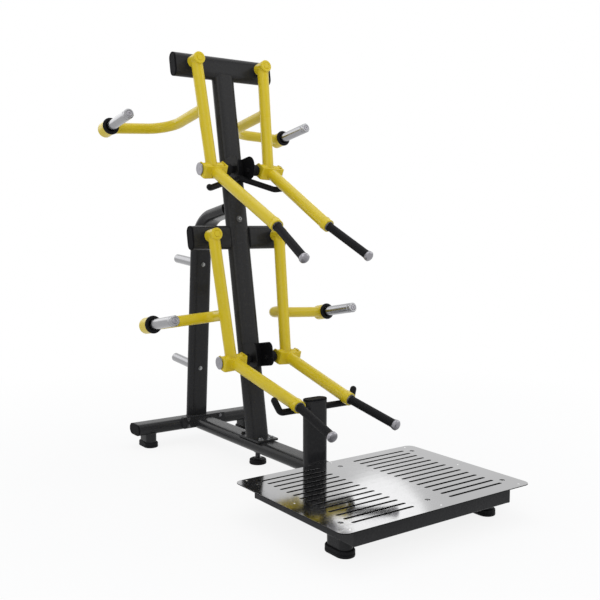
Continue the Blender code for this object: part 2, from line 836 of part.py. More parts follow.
def make_stops(column):
    """U brackets with their rubber bumpers, and the upper rest bar through the upper one."""
    bar = tube("bar", upper_bar_path(), REST_BAR_RADIUS, BAR_BEVEL_STEPS, round_ends=True)
    node(bar, "upper_rest_bar", BLACK, column)
    for level, size in LEVELS.items():
        low, high = size["bracket"]
        corner = size["bracket_corner"]
        sheet = filleted(rectangle(-BRACKET_DEEP, -GAP, low, high), [corner, 0, 0, corner], 6)
        shape = slab("bracket", [sheet], 2 * BRACKET_HALF, axes((0, 1, 0), (0, 0, 1)))
        bracket = node(shape, level + "_stop_bracket", BLACK, column)
        inner = BRACKET_HALF - BRACKET_WALL
        front = (-inner, -2 * BRACKET_DEEP, low - 0.01)
        cut(bracket, box("hollow", front, (inner, -BRACKET_BACK, high + 0.01)))
        if level == "upper":
            cut(bracket, tube("bar_hole", upper_bar_path(), REST_BAR_RADIUS + 2 * GAP, BAR_BEVEL_STEPS))
        for height in size["bolts"]:
            fuse(bracket, *bolt((0, -BRACKET_BACK, height), (0, -1, 0), 0.017, 0.0125))

        out, up = level_place(level, size["arm_long"])
        yoke_face = (YOKE_INNER + YOKE_PLATE) / math.cos(math.radians(ARM_TILT))
        reach = out - yoke_face - GAP
        start = BRACKET_HALF + GAP
        profile = [
            (start, 0),
            (start, 0.018),
            (start + 0.012, 0.018),
            (start + 0.016, BUMPER_RADIUS),
            (reach - 0.008, BUMPER_RADIUS),
            (reach - 0.003, 0.021),
            (reach - 0.0008, 0.011),
            (reach, 0),
        ]
        for side_name, side in SIDES.items():
            fuse(bracket, *bolt((side * inner, -ARM_FORWARD, up), (-side, 0, 0), 0.019, 0.013))
            bumper = turned("bumper", profile, (0, -ARM_FORWARD, up), (side, 0, 0))
            node(bumper, level + "_" + side_name + "_bumper", RUBBER, column)


def make_weight_horn(label, size, horn_x, horn_z, frame):
    """The chrome horn with its spigot in the sleeve, and the rubber ring behind the weights."""
    forward = size["horn_forward"]
    front = forward + HORN_SLEEVE_FRONT + GAP
    end = front + HORN_LONG
    groove = end - HORN_GROOVE
    profile = [
        (forward - HORN_SLEEVE_BACK + GAP, 0),
        (forward - HORN_SLEEVE_BACK + GAP, HORN_SPIGOT_RADIUS),
        (front, HORN_SPIGOT_RADIUS),
        (front, HORN_RADIUS),
        (groove - 0.003, HORN_RADIUS),
        (groove - 0.002, HORN_RADIUS - 0.002),
        (groove + 0.002, HORN_RADIUS - 0.002),
        (groove + 0.003, HORN_RADIUS),
        (end - 0.004, HORN_RADIUS),
        (end, HORN_RADIUS - 0.004),
        (end, 0),
    ]
    horn = turned("horn", profile, (horn_x, 0, horn_z), (0, -1, 0))
    node(horn, label + "weight_horn", CHROME, frame)
    back = (horn_x, -front - GAP, horn_z)
    rubber = ring("ring", HORN_RADIUS + GAP, RING_RADIUS, back, (horn_x, -front - GAP - RING_THICK, horn_z))
    node(rubber, label + "horn_ring", RUBBER, frame)


def make_swing_arm(label, side, size, frame):
    """Sleeve with its cap, arm tube, cross sleeve, bent weight arm and horn sleeve, welded together."""
    down = size["arm_long"]
    forward = size["horn_forward"]
    horn_x = side * HORN_OUT
    horn_z = -size["weight_down"]
    cap = SLEEVE_TO
    sleeve = [
        (SLEEVE_FROM, 0),
        (SLEEVE_FROM, SLEEVE_RADIUS),
        (cap + 0.004, SLEEVE_RADIUS),
        (cap + 0.007, SLEEVE_RADIUS - 0.003),
        (cap + 0.007, 0),
    ]
    arm = node(turned("sleeve", sleeve, (0, 0, 0), (0, -1, 0)), label + "swing_arm", YELLOW, frame)
    inset = 0.005
    tube_y = -ARM_FORWARD
    left_end = (-CROSS_SLEEVE_HALF, tube_y, -down)
    start = (0, inset - ARM_FORWARD, horn_z)
    path = [start, (0, -forward, horn_z), (horn_x - side * inset, -forward, horn_z)]
    sleeve_back = (horn_x, -forward + HORN_SLEEVE_BACK, horn_z)
    fuse(
        arm,
        rod("arm_tube", ARM_RADIUS, (0, tube_y, -inset), (0, tube_y, inset - down)),
        rod("cross_sleeve", SLEEVE_RADIUS, left_end, (CROSS_SLEEVE_HALF, tube_y, -down)),
        tube("weight_arm", bent(path, size["weight_arm_bend"], 8), WEIGHT_ARM_RADIUS),
        rod("horn_sleeve", HORN_SLEEVE_RADIUS, (horn_x, -forward - HORN_SLEEVE_FRONT, horn_z), sleeve_back),
    )
    past = 0.1
    bore_end = (0, -PIVOT_SHAFT_END - 3 * GAP, 0)
    horn_bore_back = (horn_x, -forward + past, horn_z)
    cut(
        arm,
        rod("pivot_bore", bore_radius(PIVOT_SHAFT_RADIUS), (0, 0, 0), bore_end),
        rod("cross_bore", bore_radius(CROSS_SHAFT_RADIUS), (-past, tube_y, -down), (past, tube_y, -down)),
        rod("horn_bore", bore_radius(HORN_SPIGOT_RADIUS), (horn_x, -forward - past, horn_z), horn_bore_back),
    )
    make_weight_horn(label, size, horn_x, horn_z, frame)


def make_forearm(label, side, size, frame):
    """Yoke, web, tube and collar, welded together, and the shaft with its disc through the yoke."""
    outer = YOKE_INNER + YOKE_PLATE
    end = Vector((-side * size["toe_in"], -size["forearm_long"], 0))
    splay = math.radians(size["splay"])
    grip_along = Vector((side * math.sin(splay), -math.cos(splay), 0))

    inset = 0.002
    low = (-YOKE_INNER - inset, -WEB_TO, -WEB_HALF)
    web = box("web", low, (YOKE_INNER + inset, -WEB_FROM, WEB_HALF))
    yoke = node(web, label + "forearm", YELLOW, frame)
    for plate_side in SIDES.values():
        centre = (plate_side * (YOKE_INNER + outer) / 2, 0, 0)
        fuse(yoke, slab("yoke_plate", [YOKE_OUTLINE], YOKE_PLATE, axes((0, -1, 0), (0, 0, 1), centre)))
    start = (0, -(WEB_FROM + WEB_TO) / 2, 0)
    fuse(
        yoke,
        rod("forearm_tube", ARM_RADIUS, start, end + Vector((0, 0.008, 0))),
        rod("collar", COLLAR_RADIUS, end - grip_along * COLLAR_HALF, end + grip_along * COLLAR_HALF),
    )
    bore_start = end - grip_along * (COLLAR_HALF - 2 * GAP)
    bore = bore_radius(CROSS_SHAFT_RADIUS)
    cut(
        yoke,
        rod("cross_bore", bore, (-0.1, 0, 0), (0.1, 0, 0)),
        rod("collar_bore", bore, bore_start, end + grip_along * 2 * COLLAR_HALF),
    )

    head = outer + GAP
    shaft = [
        (-outer, 0),
        (-outer, CROSS_SHAFT_RADIUS),
        (head, CROSS_SHAFT_RADIUS),
        (head, DISC_RADIUS - 0.004),
        (head + 0.0025, DISC_RADIUS - 0.004),
        (head + 0.0025, DISC_RADIUS),
        (head + 0.0065, DISC_RADIUS),
        (head + 0.009, DISC_RADIUS - 0.004),
        (head + 0.009, 0),
    ]
    node(turned("shaft", shaft, (0, 0, 0), (side, 0, 0)), label + "cross_shaft", CHROME, frame)


def make_grip(label, frame):
    """The turning grip: a chrome shaft in the collar, and the rubber sleeve on it."""
    collar_face = COLLAR_HALF + GAP
    flange_face = COLLAR_HALF + 0.004
    cap = GRIP_END
    shaft = [
        (-COLLAR_HALF + 4 * GAP, 0),
        (-COLLAR_HALF + 4 * GAP, CROSS_SHAFT_RADIUS),
        (collar_face, CROSS_SHAFT_RADIUS),
        (collar_face, 0.022),
        (flange_face, 0.022),
        (flange_face, GRIP_CORE_RADIUS),
        (cap, GRIP_CORE_RADIUS),
        (cap, GRIP_CAP_RADIUS),
        (cap + 0.008, GRIP_CAP_RADIUS - 0.001),
        (cap + 0.014, 0.014),
        (cap + 0.016, 0),
    ]
    node(turned("shaft", shaft, (0, 0, 0), (0, -1, 0), GRIP_SIDES), label + "grip_shaft", CHROME, frame)
    near = flange_face + GAP
    far = cap - GAP
    bore = GRIP_CORE_RADIUS + GAP
    rim = GRIP_RADIUS + 0.002
    sleeve = [
        (near, bore),
        (near, rim),
        (near + 0.006, rim),
        (near + 0.010, GRIP_RADIUS),
        (far - 0.010, GRIP_RADIUS),
        (far - 0.006, rim),
        (far, rim),
        (far, bore),
    ]
    node(turned("sleeve", sleeve, (0, 0, 0), (0, -1, 0), GRIP_SIDES), label + "grip_sleeve", RUBBER, frame)


def make_arms(column):
    for level, size in LEVELS.items():
        for side_name, side in SIDES.items():
            label = level + "_" + side_name + "_"
            place = (side * size["pivot_out"], 0, size["beam_height"])
            swing = empty(label + "swing_axis", column, place, (0, side * ARM_TILT, 0))
            hinge = (0, -ARM_FORWARD, -size["arm_long"])
            lift = empty(label + "lift_axis", swing, hinge, (size["droop"], 0, 0))
            collar = (-side * size["toe_in"], -size["forearm_long"], 0)
            grip = empty(label + "grip_axis", lift, collar, (0, 0, side * size["splay"]))
            make_swing_arm(label, side, size, swing)
            make_forearm(label, side, size, lift)
            make_grip(label, grip)


def main():
    rear_end = post_point(OVAL_DEEP / 2 + GAP + STORAGE_HORN_LONG, HORN_HEIGHTS["lower"]).y
    rear_end += (HORN_RADIUS - 0.003) * math.sin(math.radians(POST_LEAN))
    machine = empty("machine", None, (0, (PLATE_DEEP - rear_end) / 2, 0))
    column = empty("column_frame", machine, (0, COLUMN_FOOT_Y, 0), (-COLUMN_LEAN, 0, 0))
    make_base(machine)
    make_foot_pads(machine)
    make_platform(machine)
    make_front_post(machine)
    make_rear_post(machine)
    make_column(machine, column)
    make_caps(machine, column)
    make_stops(column)
    make_arms(column)


main()
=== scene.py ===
"""The looks of the standing deltoid machine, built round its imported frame.

Lengths are in metres and angles in degrees. The user stands at -Y and looks along +Y, and Z is up.
In the column's frame, -Y is out of its front face and Z runs up along it. In an arm's frames, -Y is
forwards along the pivot, the forearm or the grip, and X is on or near the hinge of the forearm.
"""

import json
import math

import bmesh
import bpy
from mathutils import Matrix, Vector
from mathutils.bvhtree import BVHTree


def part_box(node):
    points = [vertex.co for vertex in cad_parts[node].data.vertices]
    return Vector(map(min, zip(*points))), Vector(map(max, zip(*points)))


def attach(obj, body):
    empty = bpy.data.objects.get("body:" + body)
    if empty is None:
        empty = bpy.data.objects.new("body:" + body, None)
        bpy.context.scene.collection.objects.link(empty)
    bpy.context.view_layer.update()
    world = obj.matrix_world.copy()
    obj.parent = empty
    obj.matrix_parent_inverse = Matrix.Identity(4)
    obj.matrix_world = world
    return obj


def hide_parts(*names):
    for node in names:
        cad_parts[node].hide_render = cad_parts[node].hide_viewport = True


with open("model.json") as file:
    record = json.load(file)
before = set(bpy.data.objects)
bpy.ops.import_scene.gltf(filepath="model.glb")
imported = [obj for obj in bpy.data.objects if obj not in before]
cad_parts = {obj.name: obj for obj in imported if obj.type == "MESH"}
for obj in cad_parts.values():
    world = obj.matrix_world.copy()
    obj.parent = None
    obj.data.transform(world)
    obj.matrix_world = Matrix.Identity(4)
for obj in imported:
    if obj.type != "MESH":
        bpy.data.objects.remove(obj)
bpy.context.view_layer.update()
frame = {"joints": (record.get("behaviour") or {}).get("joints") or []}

# The camera stands where the photograph was taken from: to the machine's left, at chest height.
CAMERA_PLACE = (-2.20748, -3.256858, 1.20536)
CAMERA_TURN = 35.461
CAMERA_DROP = 5.308
CAMERA_LENS = 50
SENSOR = 36

# Studio: the world's light on the object, and how white the floor looks close to it.
WORLD_LIGHT = 0.55
FLOOR_WHITE = 0.86

# Directions in whichever frame a shape is made in.
RIGHT = (1, 0, 0)
FORWARDS = (0, -1, 0)
BACKWARDS = (0, 1, 0)
UP = (0, 0, 1)
DOWN = (0, 0, -1)

# Roundness of what is turned, and the rounding of edges.
SIDES = 56
FINE_SIDES = 32
EDGE = 0.0010
TUBE_EDGE = 0.0006
SHARP_ANGLE = 38

# The gap between pieces that touch, and how far a part goes into what it is welded or screwed to.
TOUCH = 0.0003
SUNK = 0.001

# Weld beads: their radius, the spacing of their ripples, and where they lie beside a tube's outline.
BEAD = 0.0024
BEAM_BEAD = 0.0020
BOSS_BEAD = 0.0028
RAIL_BEAD = 0.0009
RIPPLE = 0.0022
BEAD_OUT = 0.0004
BEAD_ON_TUBE = 0.998
BEAD_ON_BEAM = 0.996

# Frame tubes: the flat oval and its end caps.
OVAL = (0.120, 0.060)
OVAL_HALF = OVAL[1] / 2
OVAL_STEPS = 14
CAP_THICK = 0.008

# Bolts: the washer's radius and the head's size across its flats.
WASHER_THICK = 0.0022
JOINT_BOLT = (0.0105, 0.016)
POST_BOLT = (0.0115, 0.015)
FOOT_BOLT = (0.014, 0.018)
BRACKET_BOLT = (0.0125, 0.017)
BUMPER_NUT = (0.013, 0.019)

# Screws with a socket: the head's radius and height, and the socket's share of the radius. A head's
# shape is (share of radius, share of height) pairs.
PLATE_SCREW = (0.0100, 0.0024, 0.36)
EDGE_SCREW = (0.004, 0.0008, 0.30)
COLUMN_SCREW = (0.0098, 0.0085, 0.42)
HORN_SCREW = (0.0135, 0.0030, 0.42)
DOMED = ((1.0, 0.35), (0.94, 0.62), (0.80, 0.86), (0.62, 0.97))
FLAT = ((1.0, 0.80), (0.97, 1.0))

# Base.
TUBE_Z = 0.100
REAR_TUBE_Y = 1.208
REAR_TUBE_HALF = 0.379
JOINT_PLATE = (0.262, 0.0117, 0.063)
JOINT_PLATE_Z = 0.1105
JOINT_BOLT_X = 0.098
JOINT_BOLT_Z = (0.092, 0.129)
FOOT_STUB = (0.118, 0.060)
FOOT_PAD = (0.136, 0.076)
PAD_HIGH = 0.028
PAD_POCKET = 0.014
REAR_FOOT_X = 0.305

# Levelling foot: its place, and the stud's collar, its thread's two radii and its nut.
LEVELLING_FOOT_Y = 0.584
STUD_COLLAR = 0.018
THREAD = (0.0112, 0.0130)
THREAD_PITCH = 0.0024
THREAD_TURNS = 10
STUD_NUT = (0.034, 0.0118)

# Platform.
PLATE = (0.981, 0.724)
PLATE_TOP = 0.145
PLATE_THICK = 0.0037
PLATE_CORNER = 0.035
PLATE_EDGE = 0.0003
SLOT_ROWS = 14
SLOT_PITCH = 0.0452
SLOT_FIRST_Y = -0.061
SLOT = (0.299, 0.014)
SLOT_X = 0.2435
FRAME_HALF = 0.409
FRAME_FRONT = -0.681
FRAME_BACK = -0.033
FRAME_LOW = 0.067
FRAME_HIGH = 0.141
RAIL_WIDE = 0.040
RAIL_ROUND = 0.005
# Levels of the black pan between the rails: a sheet that stands in for the shade seen through the plate's
# slots.
SHADE_PAN = (0.068, 0.071)
FRONT_FOOT = (0.374, -0.558)
SCREW_X = 0.425
SCREW_Y = (-0.085, -0.626)
EDGE_SCREW_X = 0.440
EDGE_SCREW_Y = (-0.020, -0.699)
SCREW_HOLE = 0.0112
SCREW_TAB = (0.060, 0.040, 0.008)

# Front post and the rest bars.
FRONT_POST_Y = 0.102
FRONT_POST_TOP = 0.416
REST_BAR = 0.015
LOWER_BAR_Y = 0.090
LOWER_BAR_BEND_X = 0.1974
LOWER_BAR_END = (0.2276, 0.1037, 0.0685)
UPPER_BAR = ((0.0, -0.028, 1.448), (0.188, -0.065, 1.383), (0.2169, -0.1058, 1.3806))

# Rear post and storage horns.
POST_FOOT_Y = 1.2367
POST_LEAN = 4.463
POST_CORNER_Z = 1.219
POST_BEND = 0.225
HORN_HEIGHTS = {"lower": 0.4022, "upper": 0.982}
STORAGE_HORN_LONG = 0.240

# Column.
FLANGE_Y = (0.484, 0.690)
FLANGE_TOP = 0.140
COLUMN_BOLT_UP = 1.242
FOOT_BOLT_X = 0.032
FOOT_BOLT_Y = (0.506, 0.668)
BEAM_HALF = {"upper": 0.273, "lower": 0.266}
BEAM_FACE = {"upper": 0.0, "lower": 0.002}

# Arms, each in its own frame.
BOSS = 0.023
SLEEVE = 0.030
SLEEVE_FROM = 0.0223
SLEEVE_TO = 0.092
ARM = 0.0285
ARM_INSET = 0.006
CROSS_SLEEVE_HALF = 0.0555
CROSS_SHAFT = 0.015
WEIGHT_ARM = 0.027
WEIGHT_ARM_BEND = {"upper": 0.130, "lower": 0.060}
HORN_OUT = 0.3416
HORN_SLEEVE = 0.039
HORN_SLEEVE_FRONT = 0.030
HORN_SLEEVE_BACK = 0.040
HORN = 0.025
HORN_LONG = 0.236
HORN_NECK = 0.024
RING_THICK = 0.014
RING = 0.0425
WEIGHT_DOWN = {"upper": 0.244, "lower": 0.392}
HORN_FORWARD = {"upper": -0.321, "lower": -0.062}

# Forearm and grip.
YOKE_INNER = 0.056
YOKE_OUTER = 0.064
YOKE_HALF = 0.032
YOKE_REAR = 0.032
YOKE_CHAMFER = 0.019
WEB = (0.038, 0.046)
COLLAR = 0.030
COLLAR_HALF = 0.017
DISC = 0.031
GRIP = 0.0195
GRIP_CORE = 0.010
GRIP_CAP = 0.0235
GRIP_END = 0.294
GRIP_RIBS = 40

# Stop brackets and bumpers, in the column's frame.
BRACKET_HALF = 0.050
BRACKET_WALL = 0.005
BRACKET_BACK = 0.006
BRACKET_DEEP = 0.115
BRACKET_CORNER = {"upper": 0.048, "lower": 0.030}
BRACKETS = {"upper": (1.432, 1.548), "lower": (0.491, 0.609)}
BRACKET_BOLTS = {"upper": (1.484, 1.526), "lower": (0.512, 0.588)}
BUMPER = 0.028

LEVELS = ("upper", "lower")
HANDS = {"left": -1, "right": 1}


class Value:
    """A socket that plain arithmetic works on: each operation adds a Math node to its shading."""

    def __init__(self, shading, socket):
        self.shading = shading
        self.socket = socket

    def __add__(self, other):
        return self.shading.maths("ADD", self, other)

    def __radd__(self, other):
        return self.shading.maths("ADD", other, self)

    def __sub__(self, other):
        return self.shading.maths("SUBTRACT", self, other)

    def __rsub__(self, other):
        return self.shading.maths("SUBTRACT", other, self)

    def __mul__(self, other):
        return self.shading.maths("MULTIPLY", self, other)

    def __rmul__(self, other):
        return self.shading.maths("MULTIPLY", other, self)

    def between(self, low, high):
        """0 below low, 1 above high, and even in between."""
        inputs = {"Value": self, "From Min": low, "From Max": high}
        return self.shading.node("ShaderNodeMapRange", {}, inputs)


class Shading:
    """A node tree, with short ways to add nodes to it."""

    def __init__(self, tree):
        self.tree = tree

    def node(self, kind, settings, inputs, output=0):
        """A node of this kind, with its settings, then its inputs' values or links."""
        made = self.tree.nodes.new(kind)
        for name, value in settings.items():
            setattr(made, name, value)
        for name, value in inputs.items():
            if isinstance(value, Value):
                self.tree.links.new(value.socket, made.inputs[name])
            else:
                made.inputs[name].default_value = value
        return Value(self, made.outputs[output])

    def maths(self, operation, *inputs):
        return self.node("ShaderNodeMath", {"operation": operation}, dict(enumerate(inputs)))

    def seen(self):
        """1 where the camera, a reflection or a clear surface looks, and 0 for light on the object."""
        rays = ("Is Camera Ray", "Is Glossy Ray", "Is Transmission Ray")
        camera, glossy, clear = (self.node("ShaderNodeLightPath", {}, {}, ray) for ray in rays)
        return self.maths("MAXIMUM", clear, self.maths("MAXIMUM", glossy, camera))


class Finish(Shading):
    """A procedural material, and the record's slot that it stands for."""

    def __init__(self, name, slot, constants):
        self.slot = slot
        self.material = bpy.data.materials.new(name)
        self.material.use_nodes = True
        super().__init__(self.material.node_tree)
        self.shader = self.tree.nodes["Principled BSDF"]
        for socket, value in constants.items():
            self.shader.inputs[socket].default_value = value
        self.place = self.node("ShaderNodeTexCoord", {}, {}, "Object")

    def noise(self, scale, detail=2.0, stretch=(1, 1, 1), roughness=0.5):
        """Even noise whose features are about 1/scale metres, longer where stretch is small."""
        place = self.node("ShaderNodeVectorMath", {"operation": "MULTIPLY"}, {0: self.place, 1: stretch})
        inputs = {"Vector": place, "Scale": scale, "Detail": detail, "Roughness": roughness}
        return self.node("ShaderNodeTexNoise", {}, inputs)

    def scratches(self, scale, stretch, wanted):
        """Thin broken lines, long where stretch is small; there are more of them as wanted grows."""
        lines = self.noise(scale, 1.0, stretch).between(0.5 + 0.24 * (1 - wanted), 0.78)
        breaks = self.noise(scale * 0.12, 2.0).between(0.50, 0.62)
        return lines * breaks

    def edges(self, low, high):
        """1 on outer edges and 0 on flats."""
        return self.node("ShaderNodeNewGeometry", {}, {}, "Pointiness").between(low, high)

    def mix(self, factor, first, second):
        return self.node("ShaderNodeMix", {"data_type": "RGBA"}, {0: factor, 6: first, 7: second}, 2)

    def feed(self, socket, value):
        self.tree.links.new(value.socket, self.shader.inputs[socket])

    def bump(self, height, distance):
        made = self.node("ShaderNodeBump", {}, {"Height": height, "Distance": distance, "Strength": 1.0})
        self.feed("Normal", made)


def shade(colour, factor, added=0.0):
    """The colour made darker or lighter by a factor, then paler by what is added."""
    return (*[min(1, channel * factor + added) for channel in colour], 1)


def powder_coat(name, slot, colour, roughness, shine, wear):
    """Baked gloss powder: orange peel, slightly uneven gloss, fine dust, thin and rubbed edges."""
    constants = {"Coat Weight": 0.06, "Coat Roughness": 0.08, "IOR": 1.5, "Specular IOR Level": shine}
    made = Finish(name, slot, constants)
    cloud = made.noise(3.5, 3.0)
    peel = made.noise(380, 2.0)
    grain = made.noise(2600, 1.0)
    dust = made.noise(45, 6.0, roughness=0.65).between(0.52, 0.74)
    rubbed = made.scratches(240, (1, 1, 0.06), 0.35)
    thin = made.edges(0.53, 0.60) * made.noise(120, 4.0).between(0.40, 0.60)
    base = made.mix(cloud, shade(colour, 0.90), shade(colour, 1.10))
    base = made.mix(grain * 0.35, base, shade(colour, 1.15))
    base = made.mix(dust * wear * 0.4, base, (0.42, 0.41, 0.39, 1))
    base = made.mix(thin * wear, base, shade(colour, 0.55, 0.25))
    made.feed("Base Color", base)
    made.feed("Roughness", roughness + cloud * 0.08 + dust * 0.16 + rubbed * 0.12 + peel * 0.04)
    made.bump(peel * 0.8 + grain * 0.2 - rubbed * 0.15, 0.000011)
    return made


def plated(name, slot, colour, roughness, along):
    """Plated or ground steel: fine lines left along one direction by what slides on it."""
    made = Finish(name, slot, {"Metallic": 1.0, "IOR": 2.5})
    cloud = made.noise(14, 3.0)
    lines = made.noise(1500, 2.0, along)
    rubs = made.scratches(520, along, 0.55)
    haze = made.noise(60, 5.0, roughness=0.6).between(0.50, 0.75)
    base = made.mix(cloud, shade(colour, 0.94), shade(colour, 1.05))
    base = made.mix(haze * 0.14, base, shade(colour, 0.80))
    made.feed("Base Color", base)
    made.feed("Roughness", roughness + lines * 0.07 + rubs * 0.14 + haze * 0.06)
    made.bump(lines * 0.6 - rubs * 0.8, 0.000012)
    return made


def moulded(name, slot, colour, roughness, grain_scale, depth, shine=0.08):
    """Moulded rubber or plastic: a fine grain, paler where it is scuffed, with dust in it."""
    made = Finish(name, slot, {"IOR": 1.5, "Specular IOR Level": shine})
    cloud = made.noise(22, 3.0)
    grain = made.noise(grain_scale, 3.0, roughness=0.6)
    scuff = made.edges(0.53, 0.62) * made.noise(160, 3.0).between(0.42, 0.58)
    dust = made.noise(70, 6.0, roughness=0.7).between(0.55, 0.78)
    base = made.mix(cloud, shade(colour, 0.85), shade(colour, 1.20))
    base = made.mix(scuff * 0.20 + dust * 0.05, base, shade(colour, 1.0, 0.07))
    made.feed("Base Color", base)
    made.feed("Roughness", roughness + grain * 0.12 + dust * 0.10 - scuff * 0.06)
    made.bump(grain, depth)
    return made


def polished_sheet():
    """Bright sheet: ground along X, then polished, with shoe scuffs and a few long scratches.

    Its edges, the walls of its slots and holes and its underside are painted near-black and rough: painted
    shade for the dark inside the slots.
    """
    made = Finish("polished_sheet", "polished_steel", {"Metallic": 1.0, "IOR": 2.5})
    ground = made.noise(900, 2.0, (0.02, 1, 1))
    cloud = made.noise(5, 4.0)
    scuffs = made.noise(26, 6.0, (0.7, 1.3, 1), 0.62).between(0.54, 0.76)
    long_lines = made.scratches(300, (0.05, 1, 1), 0.30) + made.scratches(260, (1, 0.07, 1), 0.22)
    up = made.node("ShaderNodeSeparateXYZ", {}, {0: made.place}, "Z")
    top = PLATE_THICK / 2
    # Painted shade: everything below the sheet's top face (edges, slot and hole walls, underside) goes
    # near-black.
    cut = 1 - up.between(top - 0.00025, top - 0.00005)
    colour = (0.39, 0.39, 0.395)
    base = made.mix(cloud, shade(colour, 0.92), shade(colour, 1.08))
    base = made.mix(scuffs * 0.18, base, shade(colour, 0.84))
    made.feed("Base Color", made.mix(cut, base, (0.010, 0.010, 0.011, 1)))
    made.feed("Roughness", 0.075 + ground * 0.03 + scuffs * 0.05 + long_lines * 0.06 + cut * 0.5)
    made.bump(ground * 0.5 - long_lines * 0.5, 0.00001)
    return made


BLACK = powder_coat("black_coat", "black_paint", (0.025, 0.025, 0.026), 0.18, 0.08, 0.02)
YELLOW = powder_coat("yellow_coat", "yellow_paint", (0.66, 0.505, 0.013), 0.22, 0.28, 0.10)
CHROME = plated("plated_bar", "chrome", (0.30, 0.30, 0.31), 0.18, (1, 0.015, 1))
BRIGHT = plated("bright_turned", "chrome", (0.28, 0.275, 0.295), 0.26, (0.25, 1, 1))
ZINC = plated("zinc_bolts", "polished_steel", (0.28, 0.285, 0.29), 0.30, (1, 1, 0.3))
POLISHED = plated("polished_screws", "polished_steel", (0.86, 0.86, 0.86), 0.16, (1, 1, 0.3))
DARK_STEEL = plated("dark_steel", "black_paint", (0.11, 0.11, 0.115), 0.30, (1, 1, 0.3))
SHEET = polished_sheet()
RUBBER = moulded("black_rubber", "rubber", (0.009, 0.009, 0.010), 0.48, 900, 0.00012)
PLASTIC = moulded("black_plastic", "black_plastic", (0.007, 0.007, 0.008), 0.46, 1700, 0.00003, 0.03)
DIPPED = moulded("dipped_bar", "black_paint", (0.008, 0.008, 0.009), 0.36, 1100, 0.00005)


def matrix_of(x, y, place):
    """The frame with these X and Y directions, Z square to both."""
    x = Vector(x).normalized()
    y = Vector(y).normalized()
    turn = Matrix((x, y, x.cross(y))).transposed().to_4x4()
    return Matrix.Translation(place) @ turn


def rounded(points, radii, steps=3, closed=False):
    """A path or outline with round corners, as large as the sides beside them allow."""
    points = [Vector(point) for point in points]
    count = len(points)
    if not isinstance(radii, (list, tuple)):
        radii = [radii] * count
    made = []
    for index, corner in enumerate(points):
        if not closed and index in (0, count - 1):
            made.append(corner)
            continue
        before = points[index - 1] - corner
        after = points[(index + 1) % count] - corner
        half = before.angle(after) / 2
        if radii[index] == 0 or half > 1.55:
            made.append(corner)
            continue
        reach = min(radii[index] / math.tan(half), 0.48 * before.length, 0.48 * after.length)
        size = reach * math.tan(half)
        centre = corner + (before.normalized() + after.normalized()).normalized() * size / math.sin(half)
        start = corner + before.normalized() * reach - centre
        end = corner + after.normalized() * reach - centre
        made += [centre + size * start.slerp(end, step / steps) for step in range(steps + 1)]
    return made


def flat_oval(wide, deep, steps=OVAL_STEPS):
    """Two straight sides joined by half rounds, wide along X, with points along the straights."""
    radius = deep / 2
    half = wide / 2 - radius
    made = []
    for side in (1, -1):
        for step in range(steps + 1):
            angle = math.radians(-90 + 180 * step / steps)
            made.append(Vector((side * (half + radius * math.cos(angle)), side * radius * math.sin(angle))))
        made += [Vector((side * half * share, side * radius)) for share in (0.5, 0, -0.5)]
    return made


def circle(radius, sides=SIDES):
    angles = [2 * math.pi * step / sides for step in range(sides)]
    return [Vector((radius * math.cos(angle), radius * math.sin(angle))) for angle in angles]


def hexagon(flat, sides):
    """Points on a hexagon at even turns; flat is half its size across the flats."""
    turns = [360 * step / sides for step in range(sides)]
    reaches = [flat / math.cos(math.radians(turn % 60 - 30)) for turn in turns]
    return [p * reach for p, reach in zip(circle(1, sides), reaches)]


def rectangle(x0, x1, y0, y1):
    return [(x0, y0), (x1, y0), (x1, y1), (x0, y1)]


def inset(outline, amount):
    """An outline moved inwards by this amount, side by side."""
    made = []
    for index, point in enumerate(outline):
        before = (point - outline[index - 1]).normalized()
        after = (outline[(index + 1) % len(outline)] - point).normalized()
        inwards = Vector((-before.y - after.y, before.x + after.x)).normalized()
        square = max(0.4, inwards.dot(Vector((-after.y, after.x))))
        made.append(point + inwards * amount / square)
    return made


def outline_at(matrix, outline, level):
    return [matrix @ Vector((*p, level)) for p in outline]


def set_square(centre, along, points):
    """Flat points turned square to a direction, round a centre on it."""
    out = along.orthogonal().normalized()
    up = along.cross(out)
    return [centre + out * p.x + up * p.y for p in points]


def skin(work, rings, loop=False):
    """Faces between rings of points; a ring of one point is a tip, and open ends are closed."""
    made = [[work.verts.new(point) for point in ring] for ring in rings]
    pairs = list(zip(made, made[1:]))
    if loop:
        pairs.append((made[-1], made[0]))
    for first, second in pairs:
        count = max(len(first), len(second))
        for step in range(count):
            corners = [first[step - 1], first[step]] if len(first) > 1 else [first[0]]
            corners += [second[step], second[step - 1]] if len(second) > 1 else [second[0]]
            work.faces.new(corners)
    for end in () if loop else (made[0], made[-1]):
        if len(end) > 1:
            work.faces.new(end)


def straight(low, high, radius, bore=0):
    """The profile of a plain round bar or, with a bore, of a ring."""
    return [(low, bore), (low, radius), (high, radius), (high, bore)]


def shifted(profile, by):
    """A profile moved along by this much."""
    return [(place + by, size) for place, size in profile]


def turned(work, profile, start=(0, 0, 0), along=FORWARDS, sides=SIDES, soft=0.0008, loop=False):
    """A turned body with softened edges; the profile is (distance along, radius) pairs."""
    start = Vector(start)
    along = Vector(along).normalized()
    rings = []
    for place, radius in rounded(profile, soft, 3, loop):
        points = circle(radius, sides if radius > 0 else 1)
        rings.append(set_square(start + along * place, along, points))
    skin(work, rings, loop)


def stepped(work, place, outline, steps):
    """A solid along its place's Z; the steps are (level, how far the outline is inset) pairs."""
    skin(work, [outline_at(place, inset(outline, amount), level) for level, amount in steps])


def extruded(work, outline, low, high, place=None, edge=EDGE):
    """A flat outline as a solid from low to high, with rounded edges."""
    steps = []
    for step in range(4):
        angle = math.radians(30 * step)
        steps.append((low + edge * (1 - math.cos(angle)), edge * (1 - math.sin(angle))))
    steps += [(low + high - level, amount) for level, amount in reversed(steps)]
    stepped(work, place or Matrix(), [Vector(point) for point in outline], steps)


